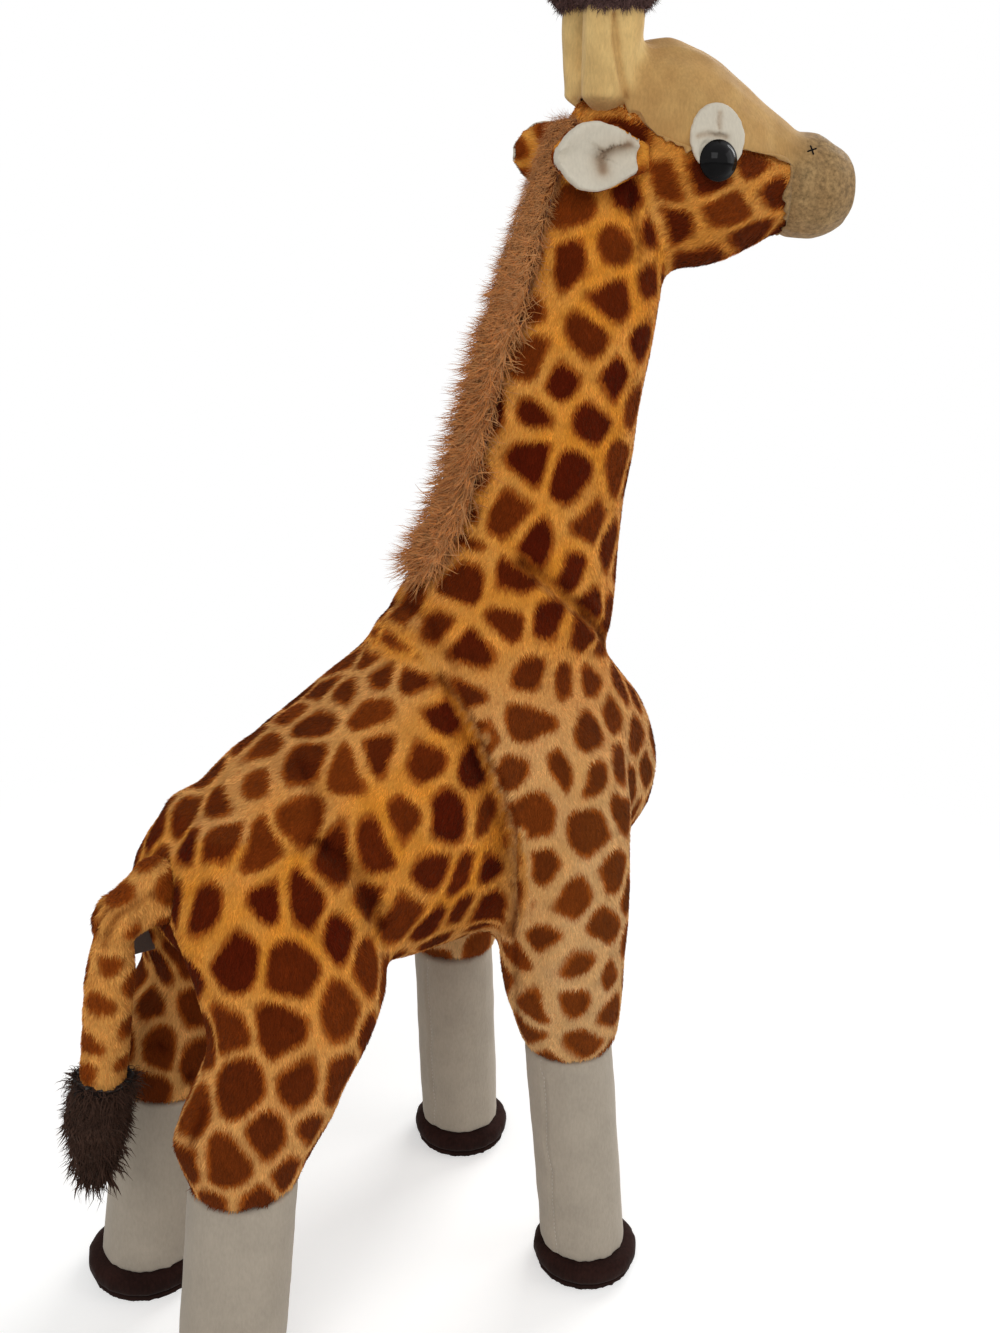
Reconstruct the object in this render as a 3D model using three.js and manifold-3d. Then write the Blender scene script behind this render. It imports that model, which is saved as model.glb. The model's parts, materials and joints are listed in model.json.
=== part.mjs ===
// A plush giraffe, 68 cm tall, standing on four splayed legs with its head turned a little to its right.
// Millimetres and degrees. +X is forwards, +Y is the giraffe's left and +Z is up.
// The origin lies on the floor, at the middle of the space that the toy takes.
// A sewn and stuffed piece is one solid: its fabric with the filling inside. The larger pieces cut the
// smaller ones, and every seam keeps a gap of one seam allowance.
import * as THREE from "three";
import { mergeVertices, toCreasedNormals } from "three/addons/utils/BufferGeometryUtils.js";
import Module from "manifold-3d";

const wasm = await Module();
wasm.setup();

// Clearances
const seamGap = 0.3;
const swingGap = 0.5;

// Fineness of the meshes
const torsoMesh = { sides: 28, rings: 18 };
const neckMesh = { sides: 24, rings: 18 };
const headMesh = { sides: 22, rings: 12 };
const muzzleMesh = { sides: 18, rings: 6 };
const thighMesh = { sides: 18, rings: 12 };
const shinMesh = { sides: 18, rings: 2 };
const hornMesh = { sides: 14, rings: 6 };
const tailMesh = { sides: 14, rings: 6 };
const maneMesh = { sides: 12, rings: 12 };
const roundSides = 18;
const domeRings = 3;
const creaseAngle = 40;

// Torso: a barrel from the rump to the chest. The height of its middle carries all that is above it.
const torso = { length: 266, width: 128, depth: 184, rear: -131, middle: 275, dome: 13 };
// Along, lift by depth, half depth by depth, half width by width
const torsoShares = [
  [0.0, -0.13, 0.16, 0.28],
  [0.09, -0.096, 0.252, 0.41],
  [0.19, -0.072, 0.325, 0.465],
  [0.31, -0.046, 0.39, 0.49],
  [0.43, -0.006, 0.455, 0.5],
  [0.55, 0.044, 0.5, 0.5],
  [0.67, 0.06, 0.5, 0.5],
  [0.78, 0.055, 0.47, 0.49],
  [0.89, 0.035, 0.39, 0.44],
  [1.0, 0.0, 0.25, 0.31],
];

// Neck: a leaning tube that widens into the withers and closes as a dome under the horns
const neck = { length: 288, lean: 70, foreAft: 86, width: 72, baseX: 44, baseRise: 50, dome: 12 };
// Up, forwards by lean, half length by foreAft, half width by width
const neckShares = [
  [0.0, 0.02, 0.8, 0.71],
  [0.12, 0.17, 0.78, 0.69],
  [0.235, 0.36, 0.64, 0.63],
  [0.345, 0.515, 0.545, 0.57],
  [0.45, 0.625, 0.52, 0.54],
  [0.58, 0.745, 0.5, 0.52],
  [0.7, 0.86, 0.475, 0.51],
  [0.82, 0.95, 0.435, 0.48],
  [0.92, 1.01, 0.36, 0.42],
  [1.0, 1.05, 0.25, 0.31],
];

// Legs: spotted upper legs, white lower legs and brown hooves on flat soles. A place is that of the foot.
const legs = {
  front: { x: 81, track: 66.5, radius: 23, hem: 142, lean: 11.6, splay: 7.3 },
  rear: { x: -128.5, track: 55.7, radius: 26, hem: 120, lean: -16.2, splay: 7.3 },
};
const hoof = { height: 15, flare: 5.6, rounding: 3 };
const sole = { thickness: 2.6, inset: 2 };
const thighs = {
  front: { length: 84, width: 66, rise: 45, dome: 20 },
  rear: { length: 104, width: 70, rise: 8, dome: 16 },
};
// Up from the hem, forwards by length, inwards by width, half length by length, half width by width
const thighShares = {
  front: [
    [0.0, 0.0, 0.0, 0.3, 0.38],
    [0.07, -0.015, 0.0, 0.35, 0.43],
    [0.24, -0.06, 0.0, 0.4, 0.48],
    [0.42, -0.06, 0.01, 0.42, 0.49],
    [0.58, -0.05, 0.05, 0.43, 0.5],
    [0.74, -0.045, 0.12, 0.45, 0.5],
    [0.88, -0.06, 0.22, 0.45, 0.49],
    [1.0, -0.07, 0.34, 0.39, 0.42],
  ],
  rear: [
    [0.0, 0.0, 0.0, 0.265, 0.393],
    [0.08, 0.02, 0.0, 0.31, 0.41],
    [0.18, 0.06, 0.0, 0.4, 0.435],
    [0.29, 0.155, 0.0, 0.395, 0.45],
    [0.42, 0.27, 0.03, 0.41, 0.465],
    [0.58, 0.33, 0.11, 0.47, 0.485],
    [0.76, 0.28, 0.26, 0.475, 0.5],
    [0.9, 0.25, 0.38, 0.41, 0.46],
    [1.0, 0.25, 0.46, 0.33, 0.38],
  ],
};

// Head: measured from where the neck's middle line ends, turned about the upright line there
const headTurn = -18;
const head = { length: 100, height: 99, width: 74, back: -6, drop: 17, dome: 8 };
// Along, lift by height, half height by height, half width by width
const headShares = [
  [0.0, 0.14, 0.22, 0.26],
  [0.1, 0.085, 0.38, 0.36],
  [0.22, 0.04, 0.485, 0.44],
  [0.36, 0.01, 0.53, 0.495],
  [0.5, -0.015, 0.515, 0.5],
  [0.65, -0.05, 0.465, 0.455],
  [0.82, -0.08, 0.365, 0.38],
  [1.0, -0.09, 0.25, 0.28],
];
// The seam between forehead and cheeks, seen from the side: along by length, up by height
const browShares = [
  [-0.5, 0.32],
  [0.08, 0.25],
  [0.18, 0.13],
  [0.36, 0.055],
  [0.5, 0.05],
  [0.66, 0.045],
  [0.84, 0.02],
  [1.5, -0.02],
];
const muzzle = { length: 42.5, height: 50, width: 55, along: 85, drop: 12, dome: 11 };
// Along, lift by height, half height by height, half width by width
const muzzleShares = [
  [0.0, 0.02, 0.42, 0.42],
  [0.3, 0.01, 0.49, 0.49],
  [0.55, 0.0, 0.5, 0.5],
  [0.76, -0.02, 0.42, 0.44],
];

// Horns with their fur caps
const horn = { height: 54, length: 27, width: 22, along: -3, spread: 11.7, foot: -20, splay: 6, dome: 6 };
// Up, half length by length, half width by width
const hornShares = [
  [0.0, 0.5, 0.5],
  [0.35, 0.47, 0.47],
  [0.7, 0.5, 0.5],
  [0.9, 0.5, 0.5],
];
const hornCap = { height: 31, length: 40, width: 33, drop: 18, dome: 7 };
const hornCapShares = [
  [0.16, 0.42, 0.42],
  [0.34, 0.5, 0.5],
  [0.58, 0.49, 0.49],
  [0.8, 0.36, 0.36],
];

// Ears: a spotted back and a white lining, cupped, hinged at their sewn root and lying backwards
const ear = { length: 43, width: 31, cup: 5, back: 2.6, lining: 1.8, rim: 1.5, along: 9, drop: -1 };
const earRoot = { radius: 3.6, height: 13, bevel: 1, out: 2 };
// Along, half width by width
const earShares = [
  [0.0, 0.21],
  [0.14, 0.3],
  [0.32, 0.43],
  [0.52, 0.5],
  [0.72, 0.46],
  [0.88, 0.32],
  [1.0, 0.12],
];
const earColumns = 6;

// Eyes: a domed button on a shank, held from inside by a washer, on a padded white patch
const eye = { radius: 10, dome: 6.6, rim: 1.4, seat: 1.2, shankRadius: 2.4, shankLength: 9, along: 43, lift: 0 };
const washer = { radius: 8.5, thickness: 1.6, depth: 5.4 };
const patch = { length: 28, height: 35, thickness: 2.2, lift: 8 };

// Mane: a ridge of long pile along the back of the neck
const mane = { width: 25, height: 18, inset: 7, dome: 6 };
// Up the neck, height by height
const maneShares = [
  [0.24, 1.0],
  [0.34, 1.2],
  [0.46, 1.2],
  [0.58, 0.9],
  [0.7, 0.45],
  [0.82, 0.2],
  [0.92, 0.12],
  [0.98, 0.1],
];
const maneStepShare = 0.02;

// Tail: a root at the rump, a tube that hangs from the crease behind it, and a long tuft
const tailRoot = { rise: -18, reach: 21, drop: 9, ball: 12.5, tall: 16, radius: 11.4, tip: 12.2, sink: 1, sway: 25 };
const tail = { length: 90, radius: 10.4, back: 12, ball: 10, swing: 20 };
// Down, radius by radius
const tailShares = [
  [0.0, 0.7],
  [0.12, 0.78],
  [0.28, 1.0],
  [0.6, 1.0],
  [1.0, 0.95],
];
const tuft = { length: 75, radius: 17.5, lap: 14, dome: 6 };
// Down, radius by radius
const tuftShares = [
  [0.08, 0.74],
  [0.26, 1.0],
  [0.48, 0.98],
  [0.72, 0.72],
  [0.9, 0.38],
];
const sweepStep = 10;

// Ribbon loop in the rear seam of the left rear leg, left blank
const ribbon = { width: 19, length: 10, thickness: 0.8, loop: 3.2, rise: -58, inwards: 10, sink: 5 };

const spotted = finish("#c98634", 0.95);
const tan = finish("#c4a263", 0.95);
const muzzleTan = finish("#b3986f", 0.95);
const white = finish("#cdc8bb", 0.95);
const hoofBrown = finish("#3c2620", 0.95);
const soleBrown = finish("#4a322a", 0.9);
const maneBrown = finish("#9a6a42", 1.0);
const capBrown = finish("#57403f", 1.0);
const tuftBrown = finish("#32211d", 1.0);
const ribbonGrey = finish("#6a605a", 0.7);
const eyeBlack = finish("#0b0a0c", 0.12);
const washerWhite = finish("#d8d8d4", 0.5);

function finish(color, roughness) {
  return new THREE.MeshStandardMaterial({ color, roughness, metalness: 0 });
}

const forward = new THREE.Vector3(1, 0, 0);
const left = new THREE.Vector3(0, 1, 0);
const up = new THREE.Vector3(0, 0, 1);

// Shapes

// The signed volume of an indexed mesh, which is negative where its faces look inwards
function volumeOf(points, faces) {
  return faces.reduce((sum, [a, b, c]) => {
    const cross = new THREE.Vector3().crossVectors(points[b], points[c]);
    return sum + points[a].dot(cross);
  }, 0);
}

function closedGeometry(points, faces) {
  const flip = volumeOf(points, faces) < 0;
  const geometry = new THREE.BufferGeometry().setFromPoints(points);
  geometry.setIndex(faces.flatMap(([a, b, c]) => (flip ? [a, c, b] : [a, b, c])));
  return geometry;
}

// A section is an ellipse: its middle, its two directions and its half size in each
function section(at, across, over, halfAcross, halfOver) {
  return { at, across, over, halfAcross, halfOver };
}

// The section at a share of the way through a row of sections
function sectionAt(sections, share) {
  const middles = new THREE.CatmullRomCurve3(sections.map((one) => one.at));
  const halves = new THREE.CatmullRomCurve3(
    sections.map((one) => new THREE.Vector3(one.halfAcross, one.halfOver, 0)),
  );
  const step = share * (sections.length - 1);
  const first = sections[Math.min(Math.floor(step), sections.length - 2)];
  const second = sections[Math.min(Math.floor(step), sections.length - 2) + 1];
  const between = step - sections.indexOf(first);
  const half = halves.getPoint(share);
  return section(
    middles.getPoint(share),
    first.across.clone().lerp(second.across, between).normalize(),
    first.over.clone().lerp(second.over, between).normalize(),
    half.x,
    half.y,
  );
}

// A solid through a row of sections, with a dome or a flat face at each end
function loft({ sections, mesh, startDome, endDome, grow = 0 }) {
  const body = Array.from({ length: mesh.rings + 1 }, (_, i) => sectionAt(sections, i / mesh.rings));
  const rows = [
    ...cap(body[0], body[1], startDome, grow).reverse(),
    ...body.map((one) => ringOf(one, mesh.sides, 1, grow)),
    ...cap(body.at(-1), body.at(-2), endDome, grow),
  ].map((row) => (Array.isArray(row) ? row : ringOf(row.one, mesh.sides, row.size, grow)));
  const ends = [poleOf(body[0], body[1], startDome, grow), poleOf(body.at(-1), body.at(-2), endDome, grow)];
  return skin(rows, ends);
}

function outwards(end, next) {
  const normal = new THREE.Vector3().crossVectors(end.across, end.over).normalize();
  return normal.dot(next.at.clone().sub(end.at)) > 0 ? normal.negate() : normal;
}

function poleOf(end, next, dome, grow) {
  return end.at.clone().addScaledVector(outwards(end, next), dome + grow);
}

function cap(end, next, dome, grow) {
  const away = outwards(end, next);
  if (dome === 0) {
    return grow === 0 ? [] : [{ one: { ...end, at: end.at.clone().addScaledVector(away, grow) }, size: 1 }];
  }
  return Array.from({ length: domeRings - 1 }, (_, i) => {
    const angle = ((i + 1) / domeRings) * (Math.PI / 2);
    const at = end.at.clone().addScaledVector(away, Math.sin(angle) * (dome + grow));
    return { one: { ...end, at }, size: Math.cos(angle) };
  });
}

function ringOf(one, sides, size, grow) {
  return Array.from({ length: sides }, (_, i) => {
    const angle = (i / sides) * 2 * Math.PI;
    return one.at
      .clone()
      .addScaledVector(one.across, Math.cos(angle) * (one.halfAcross + grow) * size)
      .addScaledVector(one.over, Math.sin(angle) * (one.halfOver + grow) * size);
  });
}

// A closed skin over rows of points, with one point at each end
function skin(rows, ends) {
  const sides = rows[0].length;
  const points = [...rows.flat(), ...ends];
  const first = rows.length * sides;
  const faces = [];
  for (let i = 0; i < sides; i++) {
    const next = (i + 1) % sides;
    const last = (rows.length - 1) * sides;
    faces.push([first, next, i], [first + 1, last + i, last + next]);
    for (let row = 0; row < last; row += sides) {
      faces.push([row + i, row + next, row + sides + next], [row + i, row + sides + next, row + sides + i]);
    }
  }
  return closedGeometry(points, faces);
}

// A closed leaf between two grids of points that have the same rows and columns
function leaf(front, back) {
  const rows = front.length;
  const columns = front[0].length;
  const points = [...front.flat(), ...back.flat()];
  const faces = [];
  const quad = (a, b, c, d) => faces.push([a, b, c], [a, c, d]);
  const offset = rows * columns;
  for (let i = 0; i + 1 < rows; i++) {
    for (let j = 0; j + 1 < columns; j++) {
      const a = i * columns + j;
      quad(a, a + 1, a + columns + 1, a + columns);
      quad(offset + a, offset + a + columns, offset + a + columns + 1, offset + a + 1);
    }
  }
  const rim = [];
  for (let j = 0; j < columns; j++) rim.push(j);
  for (let i = 1; i < rows; i++) rim.push(i * columns + columns - 1);
  for (let j = columns - 2; j >= 0; j--) rim.push((rows - 1) * columns + j);
  for (let i = rows - 2; i > 0; i--) rim.push(i * columns);
  rim.forEach((a, i) => {
    const b = rim[(i + 1) % rim.length];
    quad(b, a, offset + a, offset + b);
  });
  return closedGeometry(points, faces);
}

// A turned piece: radius and height of each corner, with the turning axis along Z
function turned(corners, sides = roundSides) {
  const geometry = new THREE.LatheGeometry(corners.map(([radius, height]) => new THREE.Vector2(radius, height)), sides);
  return geometry.rotateX(Math.PI / 2);
}

// Corners of a quarter or half round, as radius and height
function arcCorners(radius, height, base, steps) {
  return Array.from({ length: steps + 1 }, (_, i) => {
    const angle = (i / steps) * (Math.PI / 2);
    return [Math.cos(angle) * radius, base + Math.sin(angle) * height];
  });
}

function ball(radius, centre, grow = 0) {
  const geometry = new THREE.SphereGeometry(radius + grow, roundSides, roundSides / 2);
  return solidOf(geometry.rotateX(Math.PI / 2).translate(centre.x, centre.y, centre.z));
}

// Joining and cutting

function solidOf(geometry, frame = new THREE.Matrix4()) {
  const placed = geometry.clone().applyMatrix4(frame);
  placed.deleteAttribute("normal");
  placed.deleteAttribute("uv");
  const merged = mergeVertices(placed.index ? placed : mergeVertices(placed));
  const index = merged.index.array;
  const mirrored = frame.determinant() < 0;
  const faces = [];
  for (let i = 0; i < index.length; i += 3) {
    const [a, b, c] = [index[i], index[i + 1], index[i + 2]];
    if (a !== b && b !== c && c !== a) faces.push(...(mirrored ? [a, c, b] : [a, b, c]));
  }
  return new wasm.Manifold(new wasm.Mesh({
    numProp: 3,
    vertProperties: new Float32Array(merged.attributes.position.array),
    triVerts: new Uint32Array(faces),
  }));
}

function cut(solid, ...tools) {
  return tools.reduce((rest, tool) => rest.subtract(tool), solid);
}

function common(solid, other) {
  return solid.intersect(other);
}

function join(...solids) {
  return solids.reduce((sum, solid) => sum.add(solid));
}

function meshOf(name, solid, material) {
  const { vertProperties, triVerts, numProp } = solid.getMesh();
  const geometry = new THREE.BufferGeometry();
  const positions = new Float32Array((vertProperties.length / numProp) * 3);
  for (let i = 0; i < positions.length / 3; i++) {
    positions.set(vertProperties.subarray(i * numProp, i * numProp + 3), i * 3);
  }
  geometry.setAttribute("position", new THREE.BufferAttribute(positions, 3));
  geometry.setIndex(Array.from(triVerts));
  const mesh = new THREE.Mesh(toCreasedNormals(geometry, THREE.MathUtils.degToRad(creaseAngle)), material.clone());
  mesh.name = name;
  return mesh;
}

// Torso

function torsoSolid(grow = 0) {
  const start = torso.rear + torso.dome;
  const sections = torsoShares.map(([along, lift, halfDepth, halfWidth]) => section(
    new THREE.Vector3(start + along * (torso.length - torso.dome), 0, torso.middle + lift * torso.depth),
    left, up, halfWidth * torso.width, halfDepth * torso.depth,
  ));
  return solidOf(loft({ sections, mesh: torsoMesh, startDome: torso.dome, endDome: torso.dome, grow }));
}

// Neck

const neckTop = new THREE.Vector3(neck.baseX + neck.lean, 0, torso.middle + neck.baseRise + neck.length - neck.dome);

const neckSections = neckShares.map(([rise, lean, halfLength, halfWidth]) => section(
  new THREE.Vector3(
    neck.baseX + lean * neck.lean, 0, torso.middle + neck.baseRise + rise * (neck.length - neck.dome),
  ),
  left, forward, halfWidth * neck.width, halfLength * neck.foreAft,
));

function neckSolid(grow = 0) {
  return solidOf(loft({ sections: neckSections, mesh: neckMesh, startDome: neck.dome, endDome: neck.dome, grow }));
}

// Legs

// The middle of a leg at a height, by its foot and its hem
function legMiddle(kind, side, height) {
  const { x, track, hem, lean, splay } = legs[kind];
  const share = height / hem;
  return new THREE.Vector3(x - lean * share, side * (track - splay * share), height);
}

function thighSolid(kind, side, grow = 0) {
  const { length, width, rise, dome } = thighs[kind];
  const hem = legs[kind].hem;
  const foot = legMiddle(kind, side, hem + seamGap / 2);
  const height = torso.middle + rise - foot.z;
  const sections = thighShares[kind].map(([share, ahead, inwards, halfLength, halfWidth]) => section(
    new THREE.Vector3(foot.x + ahead * length, foot.y - side * inwards * width, foot.z + share * height),
    left, forward, halfWidth * width, halfLength * length,
  ));
  return solidOf(loft({ sections, mesh: thighMesh, startDome: 0, endDome: dome, grow }));
}

function shinSolid(kind, side) {
  const { radius, hem } = legs[kind];
  const heights = [hoof.height + seamGap, hem - seamGap / 2];
  const sections = heights.map((height) => section(legMiddle(kind, side, height), left, forward, radius, radius));
  return solidOf(loft({ sections, mesh: shinMesh, startDome: 0, endDome: 0 }));
}

// A hoof is round, a little wider than the leg, and rounded at its lower edge
function hoofSolid(kind, side) {
  const wide = legs[kind].radius + hoof.flare;
  const bottom = sole.thickness + seamGap;
  const corners = [
    [0, bottom], [wide - hoof.rounding, bottom], [wide, bottom + hoof.rounding],
    [wide, hoof.height - hoof.rounding], [wide - hoof.rounding, hoof.height], [0, hoof.height],
  ];
  const foot = legMiddle(kind, side, 0);
  return solidOf(turned(corners).translate(foot.x, foot.y, 0));
}

function soleSolid(kind, side) {
  const wide = legs[kind].radius + hoof.flare - sole.inset;
  const corners = [[0, 0], [wide, 0], [wide, sole.thickness], [0, sole.thickness]];
  const foot = legMiddle(kind, side, 0);
  return solidOf(turned(corners).translate(foot.x, foot.y, 0));
}

// Head

// Head places are along the face, to its left, and up from the middle of its eyes
const headFrame = new THREE.Matrix4()
  .makeRotationZ(THREE.MathUtils.degToRad(headTurn))
  .premultiply(new THREE.Matrix4().makeTranslation(neckTop.x, neckTop.y, neckTop.z - head.drop));

const headSections = headShares.map(([along, lift, halfHeight, halfWidth]) => section(
  new THREE.Vector3(head.back + along * head.length, 0, lift * head.height),
  left, up, halfWidth * head.width, halfHeight * head.height,
));

function headSolid(grow = 0) {
  return solidOf(loft({ sections: headSections, mesh: headMesh, startDome: head.dome, endDome: head.dome, grow }), headFrame);
}

// The slab above the seam between forehead and cheeks, as wide as the head
function browSolid(grow = 0) {
  const point = ([along, lift]) => new THREE.Vector2(head.back + along * head.length, lift * head.height - grow);
  const seam = new THREE.SplineCurve(browShares.map(point)).getPoints(browShares.length * 2);
  const outline = new THREE.Shape([
    ...seam,
    new THREE.Vector2(seam.at(-1).x, head.height),
    new THREE.Vector2(seam[0].x, head.height),
  ]);
  const geometry = new THREE.ExtrudeGeometry(outline, { depth: head.width * 2, bevelEnabled: false });
  return solidOf(geometry.translate(0, 0, -head.width).rotateX(Math.PI / 2), headFrame);
}

const muzzleSections = muzzleShares.map(([along, lift, halfHeight, halfWidth]) => section(
  new THREE.Vector3(muzzle.along + along * muzzle.length, 0, lift * muzzle.height - muzzle.drop),
  left, up, halfWidth * muzzle.width, halfHeight * muzzle.height,
));

function muzzleSolid() {
  return solidOf(
    loft({ sections: muzzleSections, mesh: muzzleMesh, startDome: muzzle.dome, endDome: muzzle.dome }), headFrame,
  );
}

// Horns

const crown = head.drop + neck.dome;

function hornSolid(side, grow = 0) {
  const foot = crown + horn.foot;
  const height = horn.height - horn.foot - horn.dome;
  const sections = hornShares.map(([rise, halfLength, halfWidth]) => section(
    new THREE.Vector3(horn.along, side * (horn.spread + rise * horn.splay), foot + rise * height),
    left, forward, halfWidth * horn.width, halfLength * horn.length,
  ));
  return solidOf(loft({ sections, mesh: hornMesh, startDome: horn.dome, endDome: horn.dome, grow }), headFrame);
}

function hornCapSolid(side) {
  const middle = horn.spread + horn.splay;
  const foot = crown + horn.height - hornCap.drop;
  const sections = hornCapShares.map(([rise, halfLength, halfWidth]) => section(
    new THREE.Vector3(horn.along, side * middle, foot + rise * hornCap.height),
    left, forward, halfWidth * hornCap.width, halfLength * hornCap.length,
  ));
  return solidOf(loft({ sections, mesh: hornMesh, startDome: hornCap.dome, endDome: hornCap.dome }), headFrame);
}

function skinOf(solid) {
  const mesh = meshOf("skin", solid, spotted);
  mesh.material.side = THREE.DoubleSide;
  return mesh;
}

// Where a straight line from a point inside leaves a row of skins for the last time
function leaving(skins, from, direction) {
  return new THREE.Raycaster(from, direction.clone().normalize()).intersectObjects(skins).at(-1);
}

const headSkin = skinOf(headSolid());
const neckSkin = skinOf(neckSolid());

function inHead(along, across, lift) {
  return new THREE.Vector3(along, across, lift).applyMatrix4(headFrame);
}

function headDirection(along, across, lift) {
  return new THREE.Vector3(along, across, lift).transformDirection(headFrame);
}

// Ears

// The lines along an ear, from its lower edge to its upper edge
const earLines = Array.from({ length: earColumns + 1 }, (_, j) => (2 * j) / earColumns - 1);

// Where the side of the head or neck is met, going sideways from a place in the head
function sideMet(side, along, lift) {
  return leaving([headSkin, neckSkin], inHead(along, 0, lift), headDirection(0, side, 0));
}

// The frame of an ear: X backwards from its root, Y away from the head and Z up. The root stands on the
// side of the head, and the ear turns out just far enough for its middle and both edges to clear it.
function earFrame(side) {
  const met = sideMet(side, ear.along, -ear.drop);
  const root = met.face.normal.clone().setZ(0).setLength(earRoot.out).add(met.point);
  const local = root.applyMatrix4(headFrame.clone().invert());
  const clear = ear.back / 2 + swingGap;
  const tilts = earLines.flatMap((across) => earShares.slice(1).map(([share, halfWidth]) => {
    const back = share * ear.length;
    const reach = sideMet(side, local.x - back, local.z + across * halfWidth * ear.width)?.distance ?? 0;
    return Math.atan2(reach + clear - Math.abs(local.y) - ear.cup * across * across, back);
  }));
  return new THREE.Matrix4()
    .makeTranslation(local.x, local.y, local.z)
    .multiply(new THREE.Matrix4().makeScale(-1, side, 1))
    .multiply(new THREE.Matrix4().makeRotationZ(Math.max(0, ...tilts)))
    .premultiply(headFrame);
}

// A cupped leaf of the ear between two depths, held back from the edge by a rim
function earLeaf(frame, near, far, rim) {
  const grid = (depth) => earShares.map(([along, halfWidth]) => {
    const start = rim === 0 ? 0 : earRoot.radius + rim;
    const back = start + along * (ear.length - start - rim);
    return earLines.map((across) => (
      new THREE.Vector3(back, ear.cup * across * across + depth, across * (halfWidth * ear.width - rim))
    ));
  });
  return solidOf(leaf(grid(near), grid(far)), frame);
}

function earRootSolid(frame, grow = 0) {
  const { radius, height, bevel } = earRoot;
  const half = height / 2 + grow;
  const wide = radius + grow;
  const corners = [
    [0, -half], [wide - bevel, -half], [wide, bevel - half], [wide, half - bevel], [wide - bevel, half], [0, half],
  ];
  return solidOf(turned(corners), frame);
}

// Eyes

// The frame of an eye: Z outwards from the surface of the head
function eyeFrame(side) {
  const hit = leaving([headSkin], inHead(eye.along, 0, eye.lift), headDirection(0, side, 0));
  const facing = new THREE.Quaternion().setFromUnitVectors(up, hit.face.normal);
  return new THREE.Matrix4().compose(hit.point, facing, new THREE.Vector3(1, 1, 1));
}

const eyeBack = patch.thickness + seamGap - eye.seat;

function eyeSolid(frame, grow = 0) {
  const base = eyeBack - grow;
  const wide = eye.radius + grow;
  const corners = [
    [0, eyeBack - eye.shankLength - grow], [eye.shankRadius + grow, eyeBack - eye.shankLength - grow],
    [eye.shankRadius + grow, base], [wide, base],
    ...arcCorners(wide, eye.dome + grow, eyeBack + eye.rim, domeRings + 1),
  ];
  return solidOf(turned(corners.map(([radius, height], i) => [i === corners.length - 1 ? 0 : radius, height])), frame);
}

function washerSolid(frame, grow = 0) {
  const top = -washer.depth + grow;
  const bottom = -washer.depth - washer.thickness - grow;
  const wide = washer.radius + grow;
  return solidOf(turned([[0, bottom], [wide, bottom], [wide, top], [0, top]]), frame);
}

function patchSolid(side) {
  const shell = cut(headSolid(patch.thickness + seamGap), headSolid(seamGap));
  const place = new THREE.Matrix4()
    .makeTranslation(eye.along, side * seamGap, patch.lift)
    .multiply(new THREE.Matrix4().makeRotationX(-side * Math.PI / 2))
    .multiply(new THREE.Matrix4().makeScale(patch.length / 2, patch.height / 2, head.width))
    .premultiply(headFrame);
  return common(shell, solidOf(turned([[0, 0], [1, 0], [1, 1], [0, 1]]), place));
}

// Mane

function maneSolid() {
  const behind = (share) => {
    const one = sectionAt(neckSections, share);
    return one.at.addScaledVector(forward, -one.halfOver);
  };
  const sections = maneShares.map(([share, size]) => {
    const along = behind(share).sub(behind(share - maneStepShare));
    const outward = new THREE.Vector3().crossVectors(left, along).normalize();
    const height = size * mane.height;
    const middle = behind(share).addScaledVector(outward, (height - mane.inset) / 2);
    return section(middle, left, outward, mane.width / 2, (height + mane.inset) / 2);
  });
  return solidOf(loft({ sections, mesh: maneMesh, startDome: mane.dome, endDome: mane.dome }));
}

// Tail

const rump = leaving(
  [skinOf(torsoSolid())], new THREE.Vector3(0, 0, torso.middle + tailRoot.rise), forward.clone().negate(),
).point;
const rootPivot = rump.clone().addScaledVector(forward, tailRoot.sink);
const creasePivot = rootPivot.clone().add(new THREE.Vector3(-tailRoot.reach, 0, -tailRoot.drop));

// A shape turned by some degrees about an axis through a point
function swung(geometry, pivot, axis, degrees) {
  return geometry
    .clone()
    .translate(-pivot.x, -pivot.y, -pivot.z)
    .applyMatrix4(new THREE.Matrix4().makeRotationAxis(axis, THREE.MathUtils.degToRad(degrees)))
    .translate(pivot.x, pivot.y, pivot.z);
}

function tubeBetween(start, end, shares, radius, mesh, domes, grow) {
  const line = end.clone().sub(start);
  const over = new THREE.Vector3().crossVectors(line, left).normalize();
  const sections = shares.map(([share, size]) => section(
    start.clone().addScaledVector(line, share), left, over, size * radius, size * radius,
  ));
  return loft({ sections, mesh, startDome: domes[0], endDome: domes[1], grow });
}

// The root is taller than it is wide, and round about the upright line on which it sways
function rootBall(grow = 0) {
  const wide = tailRoot.ball + grow;
  const tall = tailRoot.tall + grow;
  const upper = arcCorners(wide, tall, 0, domeRings * 2);
  const lower = upper.slice(1).map(([radius, height]) => [radius, -height]).reverse();
  const corners = [...lower, ...upper];
  corners[0][0] = 0;
  corners.at(-1)[0] = 0;
  return solidOf(turned(corners).translate(rootPivot.x, rootPivot.y, rootPivot.z));
}

function tailRootTube(grow = 0) {
  const shares = [[0, 1], [1, tailRoot.tip / tailRoot.radius]];
  return tubeBetween(rootPivot, creasePivot, shares, tailRoot.radius, tailMesh, [0, tail.ball / 2], grow);
}

const tailEnd = creasePivot.clone().add(new THREE.Vector3(-tail.back, 0, -tail.length));

function tailTube(grow = 0) {
  return tubeBetween(creasePivot, tailEnd, tailShares, tail.radius, tailMesh, [0, tail.radius / 2], grow);
}

function tuftSolid() {
  const hang = tailEnd.clone().sub(creasePivot).normalize();
  const start = tailEnd.clone().addScaledVector(hang, -tuft.lap);
  const end = start.clone().addScaledVector(hang, tuft.length);
  return solidOf(tubeBetween(start, end, tuftShares, tuft.radius, tailMesh, [tuft.dome, tuft.dome], 0));
}

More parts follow.
